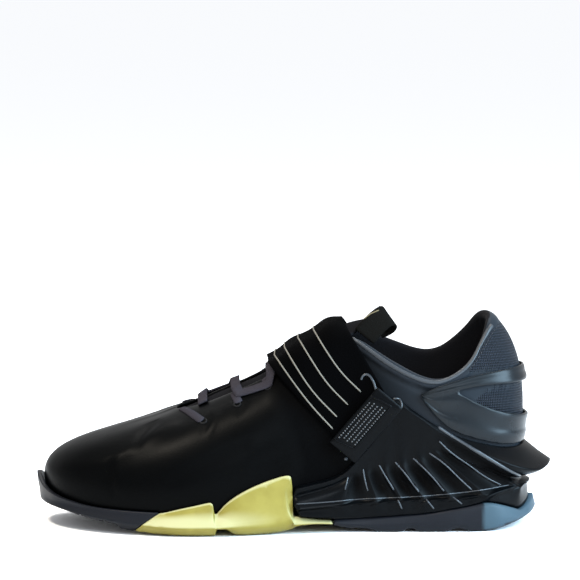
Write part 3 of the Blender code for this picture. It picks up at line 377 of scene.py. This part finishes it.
def tree_of(*pieces):
    """Ray-casting tree over pieces, in world space."""
    points, faces = [], []
    for piece in pieces:
        first = len(points)
        points += [piece.matrix_world @ v.co for v in piece.data.vertices]
        faces += [[first + k for k in face.vertices] for face in piece.data.polygons]
    return BVHTree.FromPolygons(points, faces)


def mirrored(point):
    return Vector((point.x, -point.y, point.z))


def seen(place, tree, medial):
    """Point and normal of a piece at a place of the side view, or of its mirror image."""
    start = eye()
    ahead = on_view(*place) - start
    if medial:
        start, ahead = mirrored(start), mirrored(ahead)
    point, normal, _, _ = tree.ray_cast(start, ahead.normalized())
    if point is None or (point.y > 0) != medial:
        return None
    return point, normal


def clamped(value):
    return min(1.0, max(0.0, value))


def part_way(a, b, share):
    """Place at a share of the way from one place to another."""
    return a[0] + (b[0] - a[0]) * share, a[1] + (b[1] - a[1]) * share


def between(places, step):
    """Places evenly spaced by about step along a line of places."""
    out = [places[0]]
    for a, b in zip(places, places[1:]):
        count = max(1, round(math.dist(a, b) / step))
        out += [part_way(a, b, k / count) for k in range(1, count + 1)]
    return out


def rounded(places, rounds=2):
    """The line with its corners cut off so many times."""
    for _ in range(rounds):
        cut = [places[0]]
        for a, b in zip(places, places[1:]):
            cut += [part_way(a, b, 0.25), part_way(a, b, 0.75)]
        places = cut + [places[-1]]
    return places


def off_line(place, line):
    """Distance of a place from a line of places, and how far along it the nearest point lies."""
    best, share = 1e9, 0.0
    for k, (a, b) in enumerate(zip(line, line[1:])):
        dx, dy = b[0] - a[0], b[1] - a[1]
        f = clamped(((place[0] - a[0]) * dx + (place[1] - a[1]) * dy) / max(dx * dx + dy * dy, 1e-9))
        gap = math.hypot(place[0] - a[0] - f * dx, place[1] - a[1] - f * dy)
        if gap < best:
            best, share = gap, (k + f) / (len(line) - 1)
    return best, share


def inside(place, outline):
    """Whether a place lies in a closed outline of places."""
    odd = False
    for (ax, ay), (bx, by) in zip(outline, outline[1:] + outline[:1]):
        if (ay > place[1]) != (by > place[1]) and place[0] < (bx - ax) * (place[1] - ay) / (by - ay) + ax:
            odd = not odd
    return odd


def to_view(point):
    """Place of the side view at which a point shows; medial points are mirrored."""
    aside, upward, back = view_axes()
    ray = (mirrored(point) if point.y > 0 else point) - eye()
    scale = CAMERA_DISTANCE / -ray.dot(back) / MM
    return VIEW_MIDDLE[0] + ray.dot(aside) * scale, VIEW_MIDDLE[1] + ray.dot(upward) * scale


# Small parts, gathered into one mesh for each finish

# Share of its width that a tube keeps at its ends.
TUBE_END = 0.45
# A dot's rings from its foot up: share of its radius, share of its height.
DOT_RINGS = ((1.0, -0.3), (0.92, 0.45), (0.55, 0.9))


class Bits:
    """Tubes and dots that become one piece."""

    def __init__(self):
        self.points = []
        self.faces = []

    def tube(self, path, radius, height=None, sides=8):
        """Tube along points with normals; height is its half height where it is flat."""
        height = height or radius
        first = len(self.points)
        for k, (point, normal) in enumerate(path):
            ahead = path[min(k + 1, len(path) - 1)][0] - path[max(k - 1, 0)][0]
            across = ahead.cross(normal).normalized()
            end = TUBE_END if k in (0, len(path) - 1) else 1.0
            for n in range(sides):
                turn = 2 * math.pi * n / sides
                offset = across * math.cos(turn) * radius + normal * math.sin(turn) * height
                self.points.append(point + offset * end)
        for k in range(len(path) - 1):
            for a, b in self.ring(first + k * sides, sides):
                self.faces.append((a, a + sides, b + sides, b))
        self.faces.append(tuple(range(first, first + sides)))
        last = first + (len(path) - 1) * sides
        self.faces.append(tuple(reversed(range(last, last + sides))))

    def ring(self, start, sides):
        """Pairs of neighbours round a ring of points."""
        return [(start + n, start + (n + 1) % sides) for n in range(sides)]

    def dot(self, point, normal, radius, height, sides=8):
        """Low round button on a surface."""
        first = len(self.points)
        for share, rise in DOT_RINGS:
            for spot in circle(point, normal, radius * share, sides):
                self.points.append(spot + normal * height * rise)
        self.points.append(point + normal * height)
        for k in range(len(DOT_RINGS) - 1):
            for a, b in self.ring(first + k * sides, sides):
                self.faces.append((a, b, b + sides, a + sides))
        top = len(self.points) - 1
        for a, b in self.ring(top - sides, sides):
            self.faces.append((a, b, top))
        self.faces.append(tuple(reversed(range(first, first + sides))))

    def piece(self, name, finish, slot):
        mesh = bpy.data.meshes.new(name)
        mesh.from_pydata([tuple(p) for p in self.points], [], self.faces)
        mesh.materials.append(finish)
        mesh.shade_smooth()
        thing = bpy.data.objects.new(name, mesh)
        bpy.context.scene.collection.objects.link(thing)
        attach(thing, "root")


def circle(point, normal, radius, sides):
    """Points round a point, across its normal."""
    across = normal.orthogonal().normalized()
    along = normal.cross(across)
    turns = [2 * math.pi * n / sides for n in range(sides)]
    return [point + (across * math.cos(turn) + along * math.sin(turn)) * radius for turn in turns]


def laid(places, tree, medial, lift=0.0, step=1.17):
    """Points with normals wherever a line of the side view lies on a piece, lifted off it and about
    step mm apart."""
    path = []
    for place in between(places, step):
        hit = seen(place, tree, medial)
        if hit is not None:
            path.append((hit[0] + hit[1] * lift, hit[1]))
    return path


def stitches(bits, path, length, gap, radius):
    """Short raised threads along a path."""
    travelled, start = 0.0, None
    for (p, n), (q, _) in zip(path, path[1:]):
        step = (q - p).length
        if start is None:
            start = p, n
        travelled += step
        if travelled >= length + gap:
            ahead = (q - start[0]).normalized()
            begin, normal = start
            end = begin + ahead * length
            middle = (begin + end) / 2 + normal * radius * 0.9
            bits.tube([(begin, normal), (middle, normal), (end, normal)], radius, sides=6)
            travelled, start = 0.0, None


# Panels, creases and zones, as places of the side view

# Depth in mm (raised where negative), half width in mm, line.
CREASES = {
    "toe_fold": (0.9, 1.9, ((-106.8, 37.1), (-108.5, 30.1), (-107.3, 21.9), (-106.2, 14.3))),
    "toe_ridge": (-0.6, 1.8, ((-103.8, 38.9), (-105.0, 30.1), (-103.8, 20.8), (-102.7, 14.3))),
    "ball_fold": (0.9, 2.3, ((-92.7, 40.7), (-90.4, 48.8), (-86.9, 53.5), (-78.7, 59.4))),
    "shoulder": (
        -0.7, 3.5,
        (
            (-138.4, 33.6), (-127.8, 31.9), (-113.8, 34.2), (-99.7, 40.1), (-89.2, 45.9), (-77.5, 55.3),
            (-68.2, 60.0),
        ),
    ),
    "flex_fold": (0.6, 1.8, ((-48.3, 62.9), (-51.2, 57.0), (-53.5, 51.2))),
    "flex_ridge": (-0.5, 1.8, ((-45.9, 62.9), (-48.8, 56.5), (-51.2, 50.0))),
    "stay_fold": (0.6, 1.8, ((-27.8, 73.4), (-30.1, 68.2), (-32.5, 62.9))),
    "side_fold": (0.7, 3.5, ((-74.0, 23.1), (-57.6, 30.1), (-42.4, 38.9), (-26.0, 44.2))),
    "side_hollow": (0.9, 5.9, ((-26.0, 30.1), (-8.5, 37.1), (6.7, 43.0))),
    "collar_groove": (
        1.0, 1.3,
        ((29.5, 104.4), (40.7, 96.2), (55.3, 85.7), (69.9, 78.1), (83.4, 75.2), (95.6, 79.9), (105.0, 86.9)),
    ),
    "quarter_fold": (0.6, 2.3, ((68.7, 82.8), (73.4, 75.8), (85.1, 66.4), (98.0, 60.5))),
}
FABRIC_ZONES = (
    (
        (101.5, 87.5), (108.5, 100.3), (115.5, 112.0), (122.6, 119.0), (131.9, 106.2), (136.6, 91.0),
        (120.2, 89.8),
    ),
    ((105.0, 72.2), (120.2, 78.1), (140.7, 81.6), (140.7, 59.4), (123.1, 60.5), (112.0, 65.2)),
)
STRIPES = (
    ((-13.7, 100.3), (-2.6, 83.9), (9.7, 67.6), (22.5, 54.1)),
    ((-7.9, 105.6), (1.5, 89.2), (11.4, 74.6), (24.9, 61.1)),
    ((-0.3, 111.4), (9.1, 95.6), (19.0, 80.4), (31.3, 68.2)),
    ((7.9, 117.9), (17.3, 101.5), (27.2, 86.9), (38.9, 75.8)),
)
SEAMS = (
    ((79.3, 96.8), (92.1, 89.8), (102.7, 87.5), (109.7, 99.2), (116.7, 112.0), (122.0, 117.9)),
    ((14.9, 107.3), (13.7, 99.2), (16.1, 87.5), (24.3, 74.0)),
)
# Painted shade: the shadowed recess between strap, cage and yellow wing, drawn on the upper as a near-black,
# rougher zone.
PAINTED_SHADE_ZONE = (
    (-19.0, 87.5), (-9.7, 68.7), (-1.5, 50.0), (3.2, 34.8), (-1.5, 18.4), (3.2, 9.7), (29.5, 17.3),
    (33.6, 30.1), (26.6, 44.8), (12.6, 62.3), (-1.5, 83.9), (-10.8, 93.3),
)
# Crests of the cage's fins from the back one forwards, and its upper ridge.
FINS = (
    ((84.5, 47.1), (91.6, 40.1), (102.1, 33.1), (111.4, 26.0), (120.8, 21.4)),
    ((78.7, 40.1), (87.5, 34.2), (95.6, 26.0), (103.8, 18.4)),
    ((69.3, 37.1), (76.3, 30.7), (82.8, 23.7), (87.5, 17.8)),
    ((58.8, 34.8), (64.1, 29.0), (69.3, 21.9), (72.8, 17.3)),
    ((49.4, 33.1), (53.5, 26.0), (58.2, 18.4)),
    ((40.1, 30.7), (41.2, 23.7), (43.0, 17.8)),
    ((31.3, 26.0), (29.5, 18.4)),
)
CAGE_RIDGE = (
    (52.4, 77.5), (61.1, 74.0), (69.3, 67.0), (79.3, 58.8), (89.8, 51.2), (99.7, 45.3), (113.2, 37.1),
    (124.9, 30.1), (133.7, 26.0),
)
CAGE_FOOT = (
    (0.9, 10.2), (20.8, 11.4), (38.3, 13.2), (69.3, 14.3), (91.0, 16.1), (110.3, 18.4), (125.5, 21.4),
)
LOW_FINS = (((76.9, 13.2), (81.6, 7.3)), ((92.7, 14.3), (98.0, 10.2)), ((60.5, 12.6), (62.9, 7.3)))
ARCHES = (
    ((38.9, 82.8), (40.1, 85.7), (43.0, 86.3), (45.9, 82.8), (47.7, 76.9)),
    ((57.6, 71.7), (61.1, 72.2), (62.9, 69.3), (62.3, 65.8)),
)
KEEPER_SLOT = ((61.7, 67.6), (54.7, 60.0), (46.5, 51.2), (37.1, 39.5))
KEEPER_RIVET = (30.1, 36.6)
LACE_ENDS = (
    ((-69.3, 67.6), (-62.3, 64.6), (-54.1, 58.8)),
    ((-40.1, 81.0), (-36.0, 76.3), (-32.5, 69.3)),
    ((-21.9, 89.8), (-18.4, 85.1), (-14.3, 78.7)),
)
EYELETS = ((-53.5, 58.8), (-33.6, 68.7), (-15.5, 78.7))
LOOP_THREAD = ((33.1, 112.6), (38.9, 117.3), (44.2, 121.4), (49.4, 123.7))
COLLAR_LINE = (
    (30.1, 109.7), (41.8, 101.5), (56.5, 91.0), (71.1, 83.4), (83.4, 80.4), (94.5, 85.1), (103.8, 93.3),
    (109.7, 106.2), (115.5, 115.0),
)
# Front and rear edges of the keeper's face, each from its low end to its high one.
KEEPER_EDGES = (((20.8, 47.1), (45.3, 75.2)), ((34.8, 40.7), (58.8, 68.2)))

# Half width and half height of what is laid on the surfaces
FIN_CREST = (0.45 * MM, 0.5 * MM)
LOW_FIN_CREST = (0.45 * MM, 0.45 * MM)
RIDGE_CREST = (1.1 * MM, 0.9 * MM)
FOOT_LINE = (0.35 * MM, 0.3 * MM)
ARCH_CORD = (0.7 * MM, 0.6 * MM)
SLOT_SHADE = (1.3 * MM, 0.25 * MM)
STRIPE_CORD = (0.42 * MM, 0.35 * MM)
LACE_BAND = (2.5 * MM, 0.65 * MM)
PIPING_CORD = (1.3 * MM, 0.9 * MM)
KEEPER_RIM = (0.6 * MM, 0.45 * MM)
EYELET_RIM = (0.6 * MM, 0.4 * MM)
LOOP_CORD = (0.35 * MM, 0.35 * MM)

# Radius and height of dots
KEEPER_DOT = (0.55 * MM, 0.35 * MM)
RIVET_DOT = (1.2 * MM, 0.6 * MM)

EYELET_RADIUS = 1.9 * MM
# A stitch's length, the gap to the next one and its thread's radius.
STITCH = (1.8 * MM, 0.9 * MM, 0.22 * MM)
# A cord ends where its line jumps this far from one surface to another.
CORD_JUMP = 6 * MM
# Columns and rows of the keeper's dots. Where they begin and how far they reach, and where the rim
# lies, as shares of the keeper's length and width.
DOT_GRID = (17, 5)
DOT_FIELD = ((0.12, 0.76), (0.18, 0.66))
RIM_PLACE = ((0.05, 0.95), (0.08, 0.92))
# Width of the painted shade's soft rim; half width of the collar's band and width of its soft edge. In mm.
PAINTED_SHADE_RIM = 9.4
COLLAR_BAND = (3.8, 1.17)
# The cage's fins: box in the side view (across, then up) and half widths of the grooves' painted shade,
# of the grooves and of the crests, in mm, and how deep the grooves and how high the crests are.
FIN_BOX = ((23.7, 126.1), (12.6, 56.5))
GROOVE_SHADE, GROOVE_WIDTH, CREST_WIDTH = 4.4, 2.05, 0.94
GROOVE_DEPTH, CREST_HEIGHT = 1.3 * MM, 0.5 * MM
# Distance of the painted groove shade from a crest and width over which it sets in, in mm.
SHADE_MARGIN = (0.3, 1.17)
# Where the painted blue reflection on the heel plate's bevelled rear corner begins and width over which it
# sets in, in mm.
REFLECTION_EDGE = (110.3, 0.585)
# Front end of the lining, its lowest point, and the middle of the heel that it turns round.
LINING_FRONT, LINING_FOOT, LINING_HEEL = -20 * MM, 30 * MM, 92 * MM
# Points over the instep between a stripe's two sides, and the height from which they are dropped.
STRIPE_STEPS = 24
STRIPE_DROP = 80 * MM


def faded(share):
    """Full in the middle of a line, nothing at its ends."""
    return math.sin(math.pi * clamped(share)) ** 0.6


def press_creases(piece):
    """Soft troughs and ridges of the worn-in upper, on both sides."""
    lines = [(depth * MM, width, rounded(line)) for depth, width, line in CREASES.values()]
    mesh = piece.data
    moves = {}
    for vertex in mesh.vertices:
        if abs(vertex.normal.y) < 0.15 or vertex.normal.y * vertex.co.y < 0:
            continue
        place = to_view(vertex.co)
        shift = 0.0
        for depth, width, line in lines:
            gap, share = off_line(place, line)
            if gap < 3 * width:
                shift += depth * math.exp(-(gap / width) ** 2) * faded(share)
        if shift:
            moves[vertex.index] = vertex.normal * shift
    sink(mesh, moves)


def sink(mesh, moves):
    """Moves the vertices in, once all normals have been read."""
    for k, move in moves.items():
        mesh.vertices[k].co -= move


def number_attribute(mesh, name, values):
    layer = mesh.attributes.new(name, "FLOAT", "POINT")
    layer.data.foreach_set("value", values)


def mark_upper(piece, lining_finish):
    """Sets the fabric zones, the painted shade below the strap and the collar's band, and lines the inside.
    """
    mesh = piece.data
    shares = {"fabric": [], "collar": [], "painted_shade": []}
    edge = rounded(COLLAR_LINE)
    for vertex in mesh.vertices:
        place = to_view(vertex.co)
        outward = vertex.normal.y * vertex.co.y > -0.2 * abs(vertex.co.y) or vertex.co.x > 110 * MM
        within = outward and any(inside(place, zone) for zone in FABRIC_ZONES)
        shares["fabric"].append(1.0 if within else 0.0)
        # Painted shade inside the zone, fading out over a soft rim.
        rim, _ = off_line(place, PAINTED_SHADE_ZONE + PAINTED_SHADE_ZONE[:1])
        rim = rim if inside(place, PAINTED_SHADE_ZONE) else -rim
        shares["painted_shade"].append(clamped(0.5 + rim / PAINTED_SHADE_RIM) if outward else 0.0)
        gap, _ = off_line(place, edge)
        shares["collar"].append(clamped((COLLAR_BAND[0] - gap) / COLLAR_BAND[1]) if outward else 0.0)
    for name, values in shares.items():
        number_attribute(mesh, name, values)
    mesh.materials.append(lining_finish)
    for face in mesh.polygons:
        middle = Vector((min(face.center.x, LINING_HEEL), 0, face.center.z))
        inward = face.normal.dot(face.center - middle) < -0.001
        if inward and face.center.x >= LINING_FRONT and face.center.z > LINING_FOOT:
            face.material_index = 1


def halfway(first, second, count=8):
    """Line midway between two lines of places."""
    def along(line, share):
        spot = share * (len(line) - 1)
        k = min(int(spot), len(line) - 2)
        return part_way(line[k], line[k + 1], spot - k)

    shares = [n / count for n in range(count + 1)]
    return [part_way(along(first, share), along(second, share), 0.5) for share in shares]


def cut_fins(cage):
    """Deepens the grooves between the fins and sharpens the crests, on both sides, and marks painted shade
    along the grooves.
    """
    mesh = cage.data
    grooves = [halfway(a, b) for a, b in zip((CAGE_RIDGE[3:],) + FINS, FINS)]
    groove_shade, moves = [], {}
    for vertex in mesh.vertices:
        place = to_view(vertex.co)
        outward = vertex.normal.y * vertex.co.y > 0 and abs(vertex.normal.y) > 0.1
        painted_shade = 0.0
        if outward and all(low < spot < high for spot, (low, high) in zip(place, FIN_BOX)):
            gap, share = min(off_line(place, line) for line in grooves)
            crest, _ = min(off_line(place, line) for line in FINS)
            painted_shade = math.exp(-(gap / GROOVE_SHADE) ** 2) * clamped(4 * share)
            painted_shade *= clamped((crest - SHADE_MARGIN[0]) / SHADE_MARGIN[1])
            groove = GROOVE_DEPTH * math.exp(-(gap / GROOVE_WIDTH) ** 2)
            rise = CREST_HEIGHT * math.exp(-(crest / CREST_WIDTH) ** 2)
            moves[vertex.index] = vertex.normal * (groove - rise) * faded(share)
        groove_shade.append(painted_shade)
    sink(mesh, moves)
    number_attribute(mesh, "groove", groove_shade)


def lay_ridges(pieces, finish, painted_shade):
    """Raised crests on the cage, its upper ridge and the arches and rivet by the keeper, with painted
    highlights, and painted shade in the keeper's slot.
    """
    tree, cage = tree_of(*pieces), tree_of(pieces[0])
    bits, slot_shades = Bits(), Bits()
    for medial in (False, True):
        for line in FINS:
            add_cord(bits, line, cage, medial, FIN_CREST)
        for line in LOW_FINS:
            add_cord(bits, line, tree, medial, LOW_FIN_CREST)
        add_cord(bits, CAGE_RIDGE, cage, medial, RIDGE_CREST)
        add_cord(bits, CAGE_FOOT, cage, medial, FOOT_LINE)
        for line in ARCHES:
            add_cord(bits, line, tree, medial, ARCH_CORD)
        # Painted shade: a near-black strip along the keeper's slot.
        add_cord(slot_shades, KEEPER_SLOT, tree, medial, SLOT_SHADE)
        rivet = seen(KEEPER_RIVET, tree, medial)
        if rivet is not None:
            bits.dot(*rivet, *RIVET_DOT)
    bits.piece("cage_ridge_highlights", finish, "moulding")
    slot_shades.piece("keeper_slot_shades", painted_shade, "moulding")


def add_cord(bits, line, tree, medial, size):
    """One raised cord along a line of the side view, up to where it leaves its surface."""
    path = laid(rounded(line), tree, medial, step=0.88)
    whole = path[:1]
    for spot in path[1:]:
        if (spot[0] - whole[-1][0]).length > CORD_JUMP:
            break
        whole.append(spot)
    if len(whole) > 3:
        bits.tube(whole, *size)


def mark_painted_reflection(heel):
    """Marks the bevelled rear corner of the heel plate, which gets a painted blue reflection."""
    shares = []
    for vertex in heel.data.vertices:
        share = clamped((to_view(vertex.co)[0] - REFLECTION_EDGE[0]) / REFLECTION_EDGE[1])
        shares.append(share if vertex.normal.z > -0.5 else 0.0)
    number_attribute(heel.data, "painted_reflection", shares)


def lay_lace_ends(upper, finish):
    """Flat ends of the lace from the throat edges down to the eyelets."""
    tree = tree_of(upper)
    bits = Bits()
    for medial in (False, True):
        for line in LACE_ENDS:
            path = laid(rounded(line), tree, medial, lift=0.3 * MM, step=0.7)
            if len(path) > 3:
                bits.tube(path, *LACE_BAND)
    bits.piece("lace_ends", finish, "lace_fabric")


def mark_lit_edges(piece):
    """Marks the upward chamfers of the yellow rubber, which get a painted highlight."""
    shares = []
    for vertex in piece.data.vertices:
        upward = clamped((vertex.normal.z - 0.25) / 0.25)
        shares.append(upward if abs(vertex.co.y) > 30 * MM else 0.0)
    number_attribute(piece.data, "edge", shares)


def lay_stripes(strap, finish):
    """Thin raised cords along the strap: over the instep and down both sides."""
    tree = tree_of(strap)
    bits = Bits()
    for line in STRIPES:
        lateral, medial = (laid(rounded(line), tree, side, lift=0.15 * MM) for side in (False, True))
        over = []
        for k in range(1, STRIPE_STEPS):
            spot = lateral[0][0].lerp(medial[0][0], k / STRIPE_STEPS)
            hit, normal, _, _ = tree.ray_cast(spot + Vector((0, 0, STRIPE_DROP)), Vector((0, 0, -1)))
            if hit is not None:
                over.append((hit + normal * 0.15 * MM, normal))
        bits.tube(lateral[::-1] + over + medial, *STRIPE_CORD)
    bits.piece("strap_stripes", finish, "strap_fabric")


def dress_keeper(keeper, medial, dot_glint_finish, rim_finish):
    """Grid of small dots and raised rim of a strap keeper; the dots' lighter colour is a painted glint."""
    tree = tree_of(keeper)

    def spot(along, across):
        front, rear = (part_way(*edge, along) for edge in KEEPER_EDGES)
        return part_way(front, rear, across)

    bits, rims = Bits(), Bits()
    columns, rows = DOT_GRID
    (low, length), (near, width) = DOT_FIELD
    for i in range(columns):
        for j in range(rows):
            along = low + length * (i + 0.5 * (j % 2)) / columns
            hit = seen(spot(along, near + width * j / (rows - 1)), tree, medial)
            if hit is not None:
                bits.dot(*hit, *KEEPER_DOT)
    bits.piece(f"{keeper.name}_dots", dot_glint_finish, "moulding")
    (low, high), (near, far) = RIM_PLACE
    outline = [spot(low, near), spot(high, near), spot(high, far), spot(low, far), spot(low, near)]
    path = laid(outline, tree, medial, lift=0.1 * MM, step=0.88)
    if len(path) > 4:
        rims.tube(path, *KEEPER_RIM)
        rims.piece(f"{keeper.name}_rim", rim_finish, "moulding")


def lay_seams(upper, thread, piping):
    """Stitch rows on the upper and the piping under the collar, on both sides."""
    tree = tree_of(upper)
    rows, cords = Bits(), Bits()
    for medial in (False, True):
        for line in SEAMS:
            path = laid(rounded(line), tree, medial, step=0.351)
            if len(path) > 4:
                stitches(rows, path, *STITCH)
        path = laid(rounded(COLLAR_LINE, 3), tree, medial, lift=-0.2 * MM, step=0.88)
        if len(path) > 4:
            cords.tube(path, *PIPING_CORD)
    rows.piece("upper_stitches", thread, "upper_leather")
    cords.piece("collar_piping", piping, "upper_leather")


def dress_loop(loop, finish):
    """Tan thread along the pull loop's face."""
    bits = Bits()
    path = laid(LOOP_THREAD, tree_of(loop), False, lift=0.05 * MM, step=0.585)
    if len(path) > 2:
        bits.tube(path, *LOOP_CORD)
        bits.piece("loop_thread", finish, "webbing")


def punch_eyelets(upper, finish):
    """Dark rims where the lace's ends go through the upper."""
    tree = tree_of(upper)
    bits = Bits()
    for medial in (False, True):
        for place in EYELETS:
            hit = seen(place, tree, medial)
            if hit is not None:
                point, normal = hit
                ring = [(spot, normal) for spot in circle(point, normal, EYELET_RADIUS, 16)]
                bits.tube(ring + ring[:1], *EYELET_RIM)
    if bits.faces:
        bits.piece("eyelet_rims", finish, "upper_leather")


def main():
    make_camera()
    make_stage()
    hide, rubber, yellow = leather(), black_rubber(), yellow_rubber()
    plastic = moulding("black_moulding", (0.0008, 0.0011, 0.0015), 0.05)
    blue_black = moulding("counter_moulding", (0.0030, 0.0046, 0.0062), 0.15)
    knit = fabric("black_knit", (0.006, 0.006, 0.007), 0.8 * MM, 0.2 * MM)
    weave = fabric("strap_weave", (0.0006, 0.0006, 0.0007), 0.5 * MM, 0.15 * MM)
    cord = fabric("lace_weave", (0.024, 0.022, 0.027), 0.7 * MM, 0.25 * MM)
    tape = fabric("loop_webbing", (0.0040, 0.0038, 0.0034), 0.6 * MM, 0.2 * MM)
    upper = refined("upper", hide, 2, 60)
    refined("tongue", knit, 2, 70)
    refined("insole", knit, 1)
    refined("midsole_wedge", plastic, 0)
    cage = refined("heel_cage", plastic, 2, 32, 0.75)
    counter = refined("heel_counter", blue_black, 2, 40, 0.6)
    refined("outsole_toe", rubber, 2, 40)
    wrap = refined("outsole_wrap", yellow, 2, 35)
    heel = refined("outsole_heel", rubber, 2, 25)
    refined("lace", cord, 1, 30)
    strap = refined("strap", weave, 2, 60)
    lateral = refined("strap_keeper_lateral", plastic, 2, 50)
    medial = refined("strap_keeper_medial", plastic, 2, 50)
    loop = refined("pull_loop", tape, 2, 60)
    press_creases(upper)
    mark_upper(upper, lining())
    mark_lit_edges(wrap)
    mark_painted_reflection(heel)
    cut_fins(cage)
    thread = plain("dark_thread", (0.020, 0.021, 0.024), 0.6)
    # Painted highlight: the keeper's dots are lighter than the keeper, standing in for their glints.
    dot_glint = plain("dot_glint_plastic", (0.026, 0.028, 0.031), 0.32, 0.5)
    lay_stripes(strap, plain("stripe_cord", (0.12, 0.112, 0.094), 0.7, 0.2))
    # Painted highlight: crests, arches and rivet are raised cords in a colour lighter than the cage.
    ridge = plain("ridge_highlight_plastic", (0.015, 0.019, 0.024), 0.30, 0.45)
    # Painted shade: near-black finish of the strip laid in the gap beside each keeper.
    slot = plain("slot_painted_shade", (0.0005, 0.0005, 0.0006), 0.8, 0.05)
    lay_ridges((cage, upper, counter, heel, strap), ridge, slot)
    lay_lace_ends(upper, cord)
    dress_keeper(lateral, False, dot_glint, plastic)
    dress_keeper(medial, True, dot_glint, plastic)
    lay_seams(upper, thread, plain("collar_piping", (0.018, 0.021, 0.025), 0.42))
    dress_loop(loop, plain("tan_thread", (0.10, 0.078, 0.042), 0.7, 0.2))
    punch_eyelets(upper, plain("eyelet", (0.0015, 0.0015, 0.0018), 0.6, 0.1))


main()
